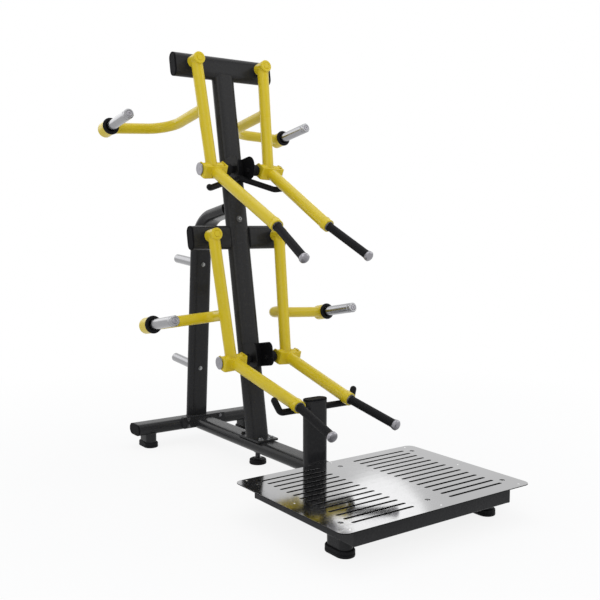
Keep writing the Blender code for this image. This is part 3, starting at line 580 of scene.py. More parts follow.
def oval_bar(work, start, end, across, size=OVAL):
    """A straight flat oval tube, closed at its ends, whose wide side lies across."""
    start = Vector(start)
    along = Vector(end) - start
    place = matrix_of(across, along.cross(Vector(across)), start)
    extruded(work, flat_oval(*size), 0, along.length, place, TUBE_EDGE)


def piped(work, path, radius, sides=SIDES, loop=False, sizes=None):
    """A round bar along a path. Its sizes, one for each point, are shares of the radius."""
    path = [Vector(point) for point in path]
    count = len(path)
    sizes = sizes or [1.0] * count
    side = None
    rings = []
    for index, point in enumerate(path):
        ahead = path[(index + 1) % count] if loop or index < count - 1 else point
        behind = path[index - 1] if loop or index > 0 else point
        along = (ahead - behind).normalized()
        side = side or along.orthogonal()
        side = (side - along * side.dot(along)).normalized()
        up = along.cross(side)
        size = radius * sizes[index]
        rings.append([point + side * p.x + up * p.y for p in circle(size, sides)])
    skin(work, rings, loop)


def round_ended(path, radius, steps=6):
    """A path and sizes whose two ends are half balls."""
    path = [Vector(point) for point in path]
    sizes = [1.0] * len(path)
    for _ in range(2):
        tip = path.pop()
        sizes.pop()
        along = (tip - path[-1]).normalized()
        for step in range(steps):
            angle = math.radians(88 * step / (steps - 1))
            path.append(tip - along * radius * (1 - math.sin(angle)))
            sizes.append(math.cos(angle))
        path.reverse()
        sizes.reverse()
    return path, sizes


def rest_bar(work, right, bend):
    """A bent bar with round ends, the same on both sides, from the path of its right half."""
    left = [(-x, y, z) for x, y, z in reversed(right) if x > 0]
    path, sizes = round_ended(rounded([*left, *right], bend, 8), REST_BAR)
    piped(work, path, REST_BAR, FINE_SIDES, False, sizes)


def bead(work, path, size, sides, low):
    """A closed bead along a path; every second point has only this share of its size."""
    piped(work, path, size, sides, True, [1.0 if index % 2 else low for index in range(len(path))])


def weld(work, outline, along, target, size=BEAD):
    """The bead where a tube of this outline, going along, meets the target's surface."""
    tree = BVHTree.FromBMesh(target)
    hits = [tree.ray_cast(point, Vector(along))[0] for point in outline]
    hits = [hit for hit in hits if hit]
    around = []
    for first, second in zip(hits, hits[1:] + hits[:1]):
        steps = max(1, round((second - first).length / RIPPLE))
        around += [first.lerp(second, step / steps) for step in range(steps)]
    bead(work, around, size, 8, 0.84)


def weld_round(work, radius, start, along, target, size=BEAD):
    """The bead round a bar of this radius that goes along from its start to the target."""
    along = Vector(along).normalized()
    weld(work, set_square(Vector(start), along, circle(radius + TOUCH, 48)), along, target, size)


def joined(work, *parts):
    """Adds finished parts to a shape."""
    for part in parts:
        mesh = bpy.data.meshes.new("part")
        part.to_mesh(mesh)
        work.from_mesh(mesh)
        bpy.data.meshes.remove(mesh)


def part_of(maker, *inputs, **settings):
    """A new shape that holds only what the maker makes."""
    work = bmesh.new()
    maker(work, *inputs, **settings)
    return work


def piece(name, work, place, body, finish, *nodes):
    """Makes a shape one of the machine's pieces: it rides on a body and stands for CAD nodes."""
    bmesh.ops.recalc_face_normals(work, faces=work.faces)
    mesh = bpy.data.meshes.new(name)
    work.to_mesh(mesh)
    work.free()
    mesh.materials.append(finish.material)
    mesh.shade_smooth()
    mesh.set_sharp_from_angle(angle=math.radians(SHARP_ANGLE))
    made = bpy.data.objects.new(name, mesh)
    bpy.context.scene.collection.objects.link(made)
    made.matrix_world = place
    flats = made.modifiers.new("flats", "WEIGHTED_NORMAL")
    flats.keep_sharp = True
    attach(made, body)
    if nodes:
        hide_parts(*nodes)


def hex_head(work, start, along, across, high):
    """A hexagonal head whose top is chamfered round, with its flats cut by that chamfer."""
    start = Vector(start)
    along = Vector(along).normalized()
    flat = across / 2
    corner = flat / math.cos(math.pi / 6)
    outline = hexagon(flat, 36)
    foot = set_square(start, along, outline)
    drops = [(0.16 * (p.length - flat) / (corner - flat) + 0.04) * high for p in outline]
    shoulder = [point + along * (high - drop) for point, drop in zip(foot, drops)]
    top = set_square(start + along * high, along, circle(flat * 0.93, 36))
    skin(work, [foot, shoulder, top])


def bolted(work, start, along, washer, across):
    """A hexagon bolt or nut on its washer."""
    turned(work, straight(-SUNK, WASHER_THICK, washer), start, along, FINE_SIDES, 0.0005)
    hex_head(work, Vector(start) + Vector(along) * WASHER_THICK, along, across, across * 0.48)


def socket_screw(work, start, along, size, shape=DOMED):
    """A screw head with a hexagonal socket."""
    radius, high, socket = size
    along = Vector(along)
    hole = hexagon(radius * socket * math.cos(math.pi / 6), 30)
    levels = [(0.0, circle(radius, 30))]
    levels += [(rise, circle(radius * share, 30)) for share, rise in (*shape, (socket + 0.10, 1.0))]
    levels += [(0.92, hole), (0.15, hole)]
    skin(work, [set_square(Vector(start) + along * high * level, along, points) for level, points in levels])


# The flat oval tube's outline, and the outlines of the beads round it and round a foot's stub.
TUBE = flat_oval(*OVAL)
TUBE_RING = inset(TUBE, -BEAD_OUT)
STUB_RING = inset(flat_oval(*FOOT_STUB), -BEAD_OUT)

# Frames of reference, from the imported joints, the tread plate and the post's own values.
JOINTS = {joint["name"]: joint for joint in frame["joints"]}
MACHINE = Matrix.Translation((0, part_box("tread_plate")[1].y, 0))


def joint_place(name):
    return Vector(JOINTS[name]["pos_m"])


def joint_axis(name):
    return Vector(JOINTS[name]["axis"])


def column_frame():
    """The column's frame: its origin is where the line up its front face meets the floor."""
    back = joint_axis("upper_left_swing")
    up = Vector(RIGHT).cross(back)
    pivot = joint_place("upper_left_swing")
    foot = pivot - up * (pivot.z / up.z)
    return matrix_of(RIGHT, back, (0, foot.y, 0))


COLUMN = column_frame()
LEAN = math.atan2(COLUMN.col[2].y, COLUMN.col[2].z)
PIVOTS = {level: COLUMN.inverted() @ joint_place(level + "_right_swing") for level in LEVELS}
POST = MACHINE @ Matrix.Translation((0, POST_FOOT_Y, 0)) @ Matrix.Rotation(math.radians(POST_LEAN), 4, "X")


def arm_frames(label):
    """The swing, lift and grip frames of one arm."""
    x = -joint_axis(label + "_lift")
    back = joint_axis(label + "_swing")
    back = back if back.y > 0 else -back
    swing = matrix_of(x, back, joint_place(label + "_swing"))
    hinge = joint_place(label + "_lift")
    grip = joint_place(label + "_grip_turn")
    reach = hinge - grip
    lift = matrix_of(x, reach - x * reach.dot(x), hinge)
    grip_back = -joint_axis(label + "_grip_turn")
    return swing, lift, matrix_of(grip_back.cross(lift.col[2].to_3d()), grip_back, grip)


def tube_rise(across):
    """How high a flat oval tube's surface is over its middle plane, this far across from its middle."""
    over = max(0.0, abs(across) - (OVAL[0] / 2 - OVAL_HALF))
    return math.sqrt(max(0.0, OVAL_HALF**2 - over**2))


def foot_stub(work, beads, x, y, top):
    """The upright stub over a foot, up into the frame, and the bead round it."""
    place = matrix_of(BACKWARDS, (-1, 0, 0), (x, y, 0))
    weld(beads, outline_at(place, STUB_RING, 0.01), UP, work)
    oval_bar(work, (x, y, PAD_HIGH - PAD_POCKET + TOUCH), (x, y, top), BACKWARDS, FOOT_STUB)


def make_base():
    """The rear tube with its joint plate and foot stubs, and the spine that is bolted to it."""
    joint_y = REAR_TUBE_Y - OVAL[1]
    wide, thick, tall = JOINT_PLATE
    plate = rounded(rectangle(-wide / 2, wide / 2, -tall / 2, tall / 2), 0.008, 4, True)

    ends = [(side * REAR_TUBE_HALF, REAR_TUBE_Y, TUBE_Z) for side in HANDS.values()]
    rear = part_of(oval_bar, *ends, BACKWARDS)
    beads = bmesh.new()
    for side in HANDS.values():
        foot_stub(rear, beads, side * REAR_FOOT_X, REAR_TUBE_Y, TUBE_Z - 0.02)
    extruded(rear, plate, 0, thick, matrix_of(RIGHT, UP, (0, joint_y + thick, JOINT_PLATE_Z)))
    joined(rear, beads)
    piece("rear_base_tube", rear, MACHINE, "root", BLACK, "rear_cross_tube")

    back_end = (0, joint_y - thick - 0.0005, TUBE_Z)
    spine = part_of(oval_bar, (0, FRAME_BACK + TOUCH, TUBE_Z), back_end, RIGHT)
    place = matrix_of(RIGHT, UP, (0, joint_y - TOUCH, JOINT_PLATE_Z))
    flange = part_of(extruded, plate, 0, thick, place)
    weld(spine, outline_at(matrix_of(RIGHT, UP, (0, 0, TUBE_Z)), TUBE_RING, -0.5), BACKWARDS, flange)
    joined(spine, flange)
    piece("spine_beam", spine, MACHINE, "root", BLACK, "spine_tube")

    bolts = bmesh.new()
    for side in HANDS.values():
        for z in JOINT_BOLT_Z:
            place = (side * JOINT_BOLT_X, joint_y - thick - TOUCH, z)
            bolted(bolts, place, FORWARDS, *JOINT_BOLT)
    piece("rear_joint_bolts", bolts, MACHINE, "root", DARK_STEEL)


def make_feet():
    """Four rubber boots with pockets for the stubs, and the levelling foot with its threaded stud."""
    boot = [(0.0, 0.0030), (0.0012, 0.0008), (0.0035, 0.0), (0.0110, 0.0), (0.0125, 0.0016)]
    boot += [(0.0140, 0.0016), (0.0155, 0.0002), (0.0240, 0.0006), (0.0265, 0.0022), (PAD_HIGH, 0.0050)]
    boot += [(PAD_HIGH, 0.0082), (PAD_HIGH - PAD_POCKET, 0.0084)]
    places = {"front": FRONT_FOOT, "rear": (REAR_FOOT_X, REAR_TUBE_Y)}
    for end, (out, y) in places.items():
        for hand, side in HANDS.items():
            place = matrix_of(BACKWARDS, (-1, 0, 0), (side * out, y, 0))
            shape = part_of(stepped, place, flat_oval(*FOOT_PAD), boot)
            name = end + "_" + hand
            piece(name + "_boot", shape, MACHINE, "root", RUBBER, name + "_foot_pad")

    disc = [(0, 0), (0, 0.041), (0.002, 0.043), (0.011, 0.043), (0.0125, 0.041), (0.014, 0.041)]
    disc += [(0.0155, 0.0425), (0.023, 0.041), (0.026, 0.036), (0.026, 0)]
    place = (0, LEVELLING_FOOT_Y, 0)
    foot = part_of(turned, disc, place, UP, soft=0.002)
    piece("levelling_disc", foot, MACHINE, "root", RUBBER, "levelling_foot")
    top = TUBE_Z - OVAL_HALF - TOUCH
    root, crest = THREAD
    profile = [(0.025, 0), (0.025, STUD_COLLAR), (0.030, STUD_COLLAR)]
    for turn in range(THREAD_TURNS):
        base = 0.031 + THREAD_PITCH * turn
        profile += [(base, root), (base + THREAD_PITCH / 2, crest)]
    profile += [(top, root), (top, 0)]
    stud = part_of(turned, profile, place, UP, FINE_SIDES, 0.0003)
    hex_head(stud, (0, LEVELLING_FOOT_Y, top - 0.012), UP, *STUD_NUT)
    piece("levelling_stud", stud, MACHINE, "root", DARK_STEEL)


def rail_section(low, high):
    return rounded(rectangle(low, high, FRAME_LOW, FRAME_HIGH), RAIL_ROUND, 5, True)


def make_platform():
    """The rails round the platform, mitred at its corners, with its middle rail, stubs and tabs, and a black
    pan under the plate that is painted shade seen through the plate's slots.
    """
    mitres = ((-1, FRAME_FRONT, 1), (1, FRAME_FRONT, 1), (1, FRAME_BACK, -1), (-1, FRAME_BACK, -1))
    outer = rail_section(0, RAIL_WIDE)
    corners = []
    for side, y, inwards in mitres:
        corners.append([Vector((side * (FRAME_HALF - p.x), y + inwards * p.x, p.y)) for p in outer])
    rails = part_of(skin, corners, True)
    beads = bmesh.new()
    for ring in corners:
        bead(beads, ring, RAIL_BEAD, 6, 0.8)
    ends = (FRAME_FRONT + RAIL_WIDE - SUNK, FRAME_BACK - RAIL_WIDE + SUNK)
    middle = rail_section(-RAIL_WIDE / 2, RAIL_WIDE / 2)
    skin(rails, [[Vector((p.x, y, p.y)) for p in middle] for y in ends])
    inner = FRAME_HALF - RAIL_WIDE + SUNK
    # The black pan under the plate: painted shade for the slots.
    extruded(rails, rectangle(-inner, inner, *ends), *SHADE_PAN)
    wide, deep, thick = SCREW_TAB
    for side in HANDS.values():
        foot_stub(rails, beads, side * FRONT_FOOT[0], FRONT_FOOT[1], FRAME_LOW + 0.03)
        x = side * SCREW_X
        for y in SCREW_Y:
            tab = rectangle(x - wide / 2, x + wide / 2, y - deep / 2, y + deep / 2)
            extruded(rails, rounded(tab, 0.006, 4, True), FRAME_HIGH - thick, FRAME_HIGH - TOUCH)
    joined(rails, beads)
    piece("platform_rails", rails, MACHINE, "root", BLACK, "platform_frame")


def make_tread_plate():
    """The slotted sheet: a filled outline with its slots and holes, and softened edges."""
    large = [(x, y) for x in (-SCREW_X, 0, SCREW_X) for y in SCREW_Y]
    small = [(x, y) for x in (-EDGE_SCREW_X, 0, EDGE_SCREW_X) for y in EDGE_SCREW_Y]
    small += [(side * EDGE_SCREW_X, -PLATE[1] / 2) for side in HANDS.values()]
    half = PLATE[0] / 2
    outlines = [rounded(rectangle(-half, half, -PLATE[1], 0), PLATE_CORNER, 10, True)]
    for row in range(SLOT_ROWS):
        for side in HANDS.values():
            centre = Vector((side * SLOT_X, SLOT_FIRST_Y - row * SLOT_PITCH))
            outlines.append([centre + p for p in flat_oval(*SLOT, 8)])
    outlines += [[Vector(place) + p for p in circle(SCREW_HOLE, 36)] for place in large]
    curve = bpy.data.curves.new("sheet", "CURVE")
    curve.dimensions = "2D"
    curve.fill_mode = "BOTH"
    curve.extrude = PLATE_THICK / 2 - PLATE_EDGE
    curve.bevel_depth = PLATE_EDGE
    curve.bevel_resolution = 2
    curve.offset = -PLATE_EDGE
    for outline in outlines:
        spline = curve.splines.new("POLY")
        spline.points.add(len(outline) - 1)
        for point, (x, y) in zip(spline.points, outline):
            point.co = (x, y, 0, 1)
        spline.use_cyclic_u = True
    guide = bpy.data.objects.new("sheet", curve)
    bpy.context.scene.collection.objects.link(guide)
    mesh = bpy.data.meshes.new_from_object(guide.evaluated_get(bpy.context.evaluated_depsgraph_get()))
    bpy.data.objects.remove(guide, do_unlink=True)
    work = bmesh.new()
    work.from_mesh(mesh)
    bmesh.ops.remove_doubles(work, verts=work.verts, dist=0.00002)
    place = MACHINE @ Matrix.Translation((0, 0, PLATE_TOP - PLATE_THICK / 2))
    piece("slotted_plate", work, place, "root", SHEET, "tread_plate")

    screws = bmesh.new()
    for x, y in large:
        socket_screw(screws, (x, y, FRAME_HIGH - TOUCH), UP, PLATE_SCREW, FLAT)
    piece("plate_screws", screws, MACHINE, "root", CHROME)
    screws = bmesh.new()
    for x, y in small:
        socket_screw(screws, (x, y, PLATE_TOP - TOUCH), UP, EDGE_SCREW)
    piece("plate_edge_screws", screws, MACHINE, "root", POLISHED)


def capped(work, place):
    """An end cap of the oval tube: a soft rim round a slightly sunk face."""
    rim = [(-0.0030, 0.0), (-0.0012, 0.0007), (-0.0003, 0.0021), (0, 0.0042), (-0.0001, 0.0060)]
    rim += [(-0.0012, 0.0072), (-0.0013, 0.0100)]
    stepped(work, place, TUBE, [(0.0, 0.0006), (0.0004, 0.0), *shifted(rim, CAP_THICK - TOUCH)])


def make_front_post():
    """The short post on the spine with its cap, and the rest bar in front of it."""
    top = FRONT_POST_TOP - CAP_THICK
    foot = [Vector((p.x, FRONT_POST_Y + p.y, TUBE_Z + tube_rise(p.x) - 0.002)) for p in TUBE]
    place = Matrix.Translation((0, FRONT_POST_Y, 0))
    post = part_of(skin, [foot, outline_at(place, TUBE, top)])
    spine = part_of(oval_bar, (0, -0.1, TUBE_Z), (0, 0.5, TUBE_Z), RIGHT)
    weld(post, outline_at(place, [BEAD_ON_TUBE * p for p in TUBE], 0.3), DOWN, spine)
    piece("front_post_tube", post, MACHINE, "root", BLACK, "front_post")
    cap = part_of(capped, Matrix.Translation((0, FRONT_POST_Y, top + TOUCH)))
    piece("front_post_plug", cap, MACHINE, "root", PLASTIC, "front_post_cap")

    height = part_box("lower_rest_bar")[0].z + REST_BAR
    out, y, rise = LOWER_BAR_END
    right = [(LOWER_BAR_BEND_X, LOWER_BAR_Y, height), (out, y, height + rise)]
    rest = part_of(rest_bar, right, 0.024)
    piece("lower_rest", rest, MACHINE, "root", DIPPED, "lower_rest_bar")


def swept_oval(work, path, surface):
    """The oval tube along a path in the middle plane, its first ring cut to a surface's heights."""
    rings = []
    across = Vector(RIGHT)
    for index, point in enumerate(path):
        ahead = path[min(index + 1, len(path) - 1)]
        behind = path[max(index - 1, 0)]
        along = (ahead - behind).normalized()
        back = along.cross(across)
        ring = [point + across * p.x + back * p.y for p in TUBE]
        if index == 0:
            ring = [p + along * (surface(p) - p.z) / along.z for p in ring]
        rings.append(ring)
    skin(work, rings)


def make_rear_post():
    """The leaning post that bends over to the column's back, its bolts and the storage horns."""
    stand = MACHINE.inverted() @ POST
    column = MACHINE.inverted() @ COLUMN
    up = stand.col[2].to_3d()
    forward = -column.col[1].to_3d()
    face = column @ Vector((0, OVAL[1], 0))
    foot = stand.translation + up * (TUBE_Z / up.z)
    corner = stand.translation + up * (POST_CORNER_Z / up.z)
    reach = (face - corner).dot(forward) - TOUCH
    path = rounded([foot, corner, corner + forward * reach], POST_BEND, 20)
    post = part_of(swept_oval, path, lambda p: TUBE_Z - SUNK + tube_rise(p.y - REAR_TUBE_Y))

    rear = part_of(oval_bar, (-0.3, REAR_TUBE_Y, TUBE_Z), (0.3, REAR_TUBE_Y, TUBE_Z), BACKWARDS)
    outline = [BEAD_ON_TUBE * p for p in TUBE]
    weld(post, outline_at(stand, outline, 0.5), -up, rear)
    upwards = Vector(RIGHT).cross(forward)
    wall = part_of(extruded, rectangle(-0.3, 0.3, -2, 2), -SUNK, 0, matrix_of(RIGHT, upwards, face))
    weld(post, outline_at(matrix_of(RIGHT, upwards, path[-1]), outline, 0.05), forward, wall)
    piece("rear_post_tube", post, MACHINE, "root", BLACK, "rear_post")

    bolts = bmesh.new()
    end = STORAGE_HORN_LONG
    profile = [(0, 0), (0, 0.0247), (end - 0.003, 0.0247), (end, 0.0217)]
    profile += [(end, 0.0135), (end - 0.0012, 0.0125), (end - 0.0012, 0)]
    flange = [(TOUCH, 0.024), (TOUCH, 0.0265), (0.0045, 0.0250), (0.0045, 0.024)]
    for level, height in HORN_HEIGHTS.items():
        bolted(bolts, (0, -OVAL_HALF, height), FORWARDS, *POST_BOLT)
        horn = part_of(turned, profile, (0, OVAL_HALF + TOUCH, height), BACKWARDS)
        turned(horn, flange, (0, OVAL_HALF, height), BACKWARDS, SIDES, 0.0004, True)
        piece(level + "_plate_store", horn, POST, "root", CHROME, level + "_storage_horn")
    piece("rear_post_bolts", bolts, POST, "root", ZINC)


def beam_tube(level, side=None):
    """A crossbeam's tube or, with a side, the half of it that ends at the column there.

    That end follows the column's round side behind the column's middle, and is straight before it.
    """
    up = PIVOTS[level].z
    back = OVAL_HALF + BEAM_FACE[level]
    half = BEAM_HALF[level]
    if side is None:
        return part_of(oval_bar, (-half, back, up), (half, back, up), UP)
    places = [(back + p.y, up + p.x) for p in TUBE]
    starts = [OVAL[0] / 2 - OVAL_HALF + tube_rise(y) - SUNK for y, _ in places]
    inner = [Vector((side * start, y, z)) for start, (y, z) in zip(starts, places)]
    return part_of(skin, [inner, [Vector((side * half, y, z)) for y, z in places]])


def boss(work, level, side, beam):
    """The boss on a crossbeam that an arm's sleeve turns in front of, with its bead."""
    pivot = Vector((side * PIVOTS[level].x, 0, PIVOTS[level].z))
    weld_round(work, BOSS, pivot + Vector((0, -0.05, 0)), BACKWARDS, beam, BOSS_BEAD)
    turned(work, straight(-BEAM_FACE[level] - SUNK, SLEEVE_FROM - 2 * TOUCH, BOSS), pivot)


def make_column():
    """The column between its foot plate and the upper beam, with its bolts, and both crossbeams."""
    up = PIVOTS["upper"].z
    foot = []
    top = []
    for p in TUBE:
        y = OVAL_HALF + p.y
        foot.append(Vector((p.x, y, (FLANGE_TOP - SUNK + y * math.sin(LEAN)) / math.cos(LEAN))))
        under = up - OVAL_HALF - math.sqrt(max(0.0, OVAL_HALF**2 - p.y**2))
        top.append(Vector((p.x, y, under + 0.0008)))
    column = part_of(skin, [foot, top])
    beam = beam_tube("upper")
    upright = Matrix.Translation((0, OVAL_HALF, 0))
    outline = [BEAD_ON_BEAM * p for p in TUBE]
    weld(column, outline_at(upright, outline, up - 0.3), UP, beam, BEAM_BEAD)
    plate = rounded(rectangle(-OVAL[1], OVAL[1], *FLANGE_Y), 0.010, 5, True)
    flange = part_of(extruded, plate, TUBE_Z + OVAL_HALF + TOUCH, FLANGE_TOP)
    flange.transform(COLUMN.inverted() @ MACHINE)
    weld(column, outline_at(upright, TUBE_RING, 0.3), DOWN, flange)
    joined(column, flange)
    piece("column_tube", column, COLUMN, "root", BLACK, "column")

    # The same bolts: the front pair is zinc, and the rear pair behind the column has the black coat as
    # painted shade.
    for name, y, finish in zip(("front", "rear"), FOOT_BOLT_Y, (ZINC, BLACK)):
        bolts = bmesh.new()
        for side in HANDS.values():
            bolted(bolts, (side * FOOT_BOLT_X, y, FLANGE_TOP), UP, *FOOT_BOLT)
        piece("column_foot_bolts_" + name, bolts, MACHINE, "root", finish)
    profile = [(-SUNK, 0), (-SUNK, 0.0165), (0.0030, 0.0160), (0.0030, 0)]
    washer = part_of(turned, profile, (0, 0, COLUMN_BOLT_UP), FORWARDS, FINE_SIDES)
    piece("column_bolt_washer", washer, COLUMN, "root", DARK_STEEL)
    head = part_of(socket_screw, (0, -0.0028, COLUMN_BOLT_UP), FORWARDS, COLUMN_SCREW)
    piece("column_bolt", head, COLUMN, "root", ZINC)

    for side in HANDS.values():
        boss(beam, "upper", side, beam_tube("upper"))
    piece("upper_beam", beam, COLUMN, "root", BLACK, "upper_crossbeam")
    tube = part_of(oval_bar, (0, OVAL_HALF, 0.5), (0, OVAL_HALF, 1.9), RIGHT)
    for hand, side in HANDS.items():
        half = beam_tube("lower", side)
        boss(half, "lower", side, beam_tube("lower", side))
        middle = (side * 0.2, OVAL_HALF + BEAM_FACE["lower"], PIVOTS["lower"].z)
        facing = matrix_of(UP, (0, -side, 0), middle)
        weld(half, outline_at(facing, outline, 0), (-side, 0, 0), tube, BEAM_BEAD)
        piece("lower_" + hand + "_beam", half, COLUMN, "root", BLACK, "lower_" + hand + "_crossbeam")


def make_plugs():
    """Caps in the open ends of the rear tube and both crossbeams."""
    ends = [("rear_tube", MACHINE, (REAR_TUBE_HALF, REAR_TUBE_Y, TUBE_Z), BACKWARDS)]
    for level in LEVELS:
        middle = (BEAM_HALF[level], OVAL_HALF + BEAM_FACE[level], PIVOTS[level].z)
        ends.append((level + "_beam", COLUMN, middle, UP))
    for name, place, (x, y, z), across in ends:
        for hand, side in HANDS.items():
            upwards = Vector((side, 0, 0)).cross(Vector(across))
            plug = part_of(capped, matrix_of(across, upwards, (side * (x + TOUCH), y, z)))
            piece(name + "_" + hand + "_plug", plug, place, "root", PLASTIC, name + "_" + hand + "_cap")


def make_stops():
    """The upper rest bar, and U brackets with their bolts and nuts and the rubber bumpers."""
    rest = part_of(rest_bar, UPPER_BAR, 0.026)
    piece("upper_rest", rest, COLUMN, "root", DIPPED, "upper_rest_bar")
    inner = BRACKET_HALF - BRACKET_WALL
    for level in LEVELS:
        low, high = BRACKETS[level]
        bracket = bmesh.new()
        corner = BRACKET_CORNER[level]
        outline = rounded(rectangle(-BRACKET_DEEP, -TOUCH, low, high), [corner, 0, 0, corner], 8, True)
        for side in HANDS.values():
            start = min(side * inner, side * BRACKET_HALF)
            extruded(bracket, outline, 0, BRACKET_WALL, matrix_of(BACKWARDS, UP, (start, 0, 0)))
        web = rounded(rectangle(-inner - SUNK, inner + SUNK, low, high), 0.001, 1, True)
        extruded(bracket, web, 0, BRACKET_BACK - TOUCH, matrix_of(RIGHT, UP, (0, -TOUCH, 0)))
        piece(level + "_bracket", bracket, COLUMN, "root", DIPPED, level + "_stop_bracket")

        swing, lift, _ = arm_frames(level + "_right")
        hinge = COLUMN.inverted() @ lift.translation
        tilt = swing.col[0].to_3d().dot(COLUMN.col[0].to_3d())
        start = BRACKET_HALF + TOUCH
        reach = hinge.x - YOKE_OUTER / tilt - TOUCH
        profile = shifted([(0, 0), (0, 0.018), (0.011, 0.018), (0.015, BUMPER)], start)
        face = [(-0.010, BUMPER), (-0.0045, 0.0245), (-0.0014, 0.0160), (-0.0002, 0.0070), (0, 0)]
        profile += shifted(face, reach)
        bolts = bmesh.new()
        for height in BRACKET_BOLTS[level]:
            bolted(bolts, (0, -BRACKET_BACK, height), FORWARDS, *BRACKET_BOLT)
        for hand, side in HANDS.items():
            bolted(bolts, (side * inner, hinge.y, hinge.z), (-side, 0, 0), *BUMPER_NUT)
            bumper = part_of(turned, profile, (0, hinge.y, hinge.z), (side, 0, 0), soft=0.0015)
            name = level + "_" + hand
            piece(name + "_stop", bumper, COLUMN, "root", RUBBER, name + "_bumper")
        piece(level + "_bracket_bolts", bolts, COLUMN, "root", DIPPED)


def sleeve_shape(work):
    """The pivot sleeve with its cap: a chamfered rim, a groove and a raised button."""
    profile = [(SLEEVE_FROM, 0), (SLEEVE_FROM, SLEEVE - 0.001), (SLEEVE_FROM + 0.001, SLEEVE)]
    profile += shifted([(-0.0020, SLEEVE), (-0.0012, SLEEVE - 0.0008), (-0.0004, SLEEVE)], SLEEVE_TO)
    cap = [(-0.0042, SLEEVE), (-0.0014, SLEEVE - 0.0040), (-0.0014, 0.0178), (-0.0034, 0.0170)]
    cap += [(-0.0034, 0.0152), (-0.0006, 0.0144), (0, 0.0128), (0, 0)]
    turned(work, profile + shifted(cap, SLEEVE_TO + 0.007), soft=0.0006)


def make_swing_arm(name, level, side, place, hinge):
    """The welded arm: pivot sleeve, arm tube, cross sleeve, bent weight arm and horn sleeve."""
    down = -hinge.z
    horn_x = side * HORN_OUT
    horn_y = -HORN_FORWARD[level]
    horn_z = -WEIGHT_DOWN[level]
    arm = bmesh.new()
    sleeve = part_of(sleeve_shape)
    ring = straight(-CROSS_SLEEVE_HALF, CROSS_SLEEVE_HALF, SLEEVE, CROSS_SHAFT + TOUCH)
    cross = part_of(turned, ring, (0, hinge.y, -down), RIGHT, loop=True)
    weld_round(arm, ARM, (0, hinge.y, -down / 2), UP, sleeve)
    weld_round(arm, ARM, (0, hinge.y, -down / 2), DOWN, cross)
    main = part_of(turned, straight(0, down - 2 * ARM_INSET, ARM), (0, hinge.y, -ARM_INSET), DOWN)
    start = Vector((0, hinge.y + ARM_INSET, horn_z))
    path = [start, (0, horn_y, horn_z), (horn_x - side * ARM_INSET, horn_y, horn_z)]
    piped(arm, rounded(path, WEIGHT_ARM_BEND[level], 16), WEIGHT_ARM)
    weld_round(arm, WEIGHT_ARM, start + Vector((0, 0.06, 0)), FORWARDS, main)
    profile = shifted([(0, 0), (0, HORN_SLEEVE - 0.002), (0.002, HORN_SLEEVE)], -HORN_SLEEVE_BACK)
    profile += shifted([(-0.001, HORN_SLEEVE), (0, HORN_SLEEVE - 0.001), (0, 0)], HORN_SLEEVE_FRONT)
    holder = part_of(turned, profile, (horn_x, horn_y, horn_z))
    weld_round(arm, WEIGHT_ARM, (horn_x - side * 0.1, horn_y, horn_z), (side, 0, 0), holder)
    joined(arm, sleeve, cross, main, holder)
    piece(name + "_swing_tube", arm, place, name + "_arm", YELLOW, name + "_swing_arm")
    make_weight_horn(name, place, Vector((horn_x, horn_y - HORN_SLEEVE_FRONT, horn_z)))


def make_weight_horn(name, place, front):
    """The plated horn with its necked end and centre bolt, and the rubber ring behind the weights."""
    end = HORN_LONG
    neck = [(-0.003, HORN), (-0.001, HORN - 0.0035), (0.004, HORN - 0.0035), (0.006, HORN)]
    profile = [(TOUCH, 0), (TOUCH, HORN), *shifted(neck, end - HORN_NECK)]
    profile += [(end - 0.0045, HORN), (end, HORN - 0.0045), (end, 0.0155)]
    profile += [(end - 0.0020, 0.0145), (end - 0.0020, 0)]
    horn = part_of(turned, profile, front)
    piece(name + "_horn_bar", horn, place, name + "_arm", CHROME, name + "_weight_horn")
    screw = part_of(socket_screw, front + Vector((0, 0.0022 - end, 0)), FORWARDS, HORN_SCREW)
    piece(name + "_horn_screw", screw, place, name + "_arm", BRIGHT)
    ring = part_of(turned, straight(TOUCH, RING_THICK, RING, HORN + TOUCH), front, soft=0.0055, loop=True)
    piece(name + "_ring", ring, place, name + "_arm", RUBBER, name + "_horn_ring")


def bent_strip(work):
    """The yoke: a flat strip bent into a U round the cross sleeve, its rear corners cut off."""
    inner, outer = YOKE_INNER, YOKE_OUTER
    plan = [(-outer, YOKE_REAR), (-outer, -WEB[1]), (outer, -WEB[1]), (outer, YOKE_REAR)]
    plan += [(inner, YOKE_REAR), (inner, -WEB[0]), (-inner, -WEB[0]), (-inner, YOKE_REAR)]
    plan = rounded(plan, [0.0008, 0.010, 0.010, 0.0008, 0.0008, 0.003, 0.003, 0.0008], 5, True)
    extruded(work, plan, -YOKE_HALF, YOKE_HALF, edge=0.0012)
    for up in (-1, 1):
        corner = (0, YOKE_REAR, up * (YOKE_HALF - YOKE_CHAMFER))
        parts = work.verts[:] + work.edges[:] + work.faces[:]
        cut = bmesh.ops.bisect_plane(work, geom=parts, plane_co=corner, plane_no=(0, 1, up), clear_outer=True)
        edges = [part for part in cut["geom_cut"] if isinstance(part, bmesh.types.BMEdge)]
        bmesh.ops.holes_fill(work, edges=edges)


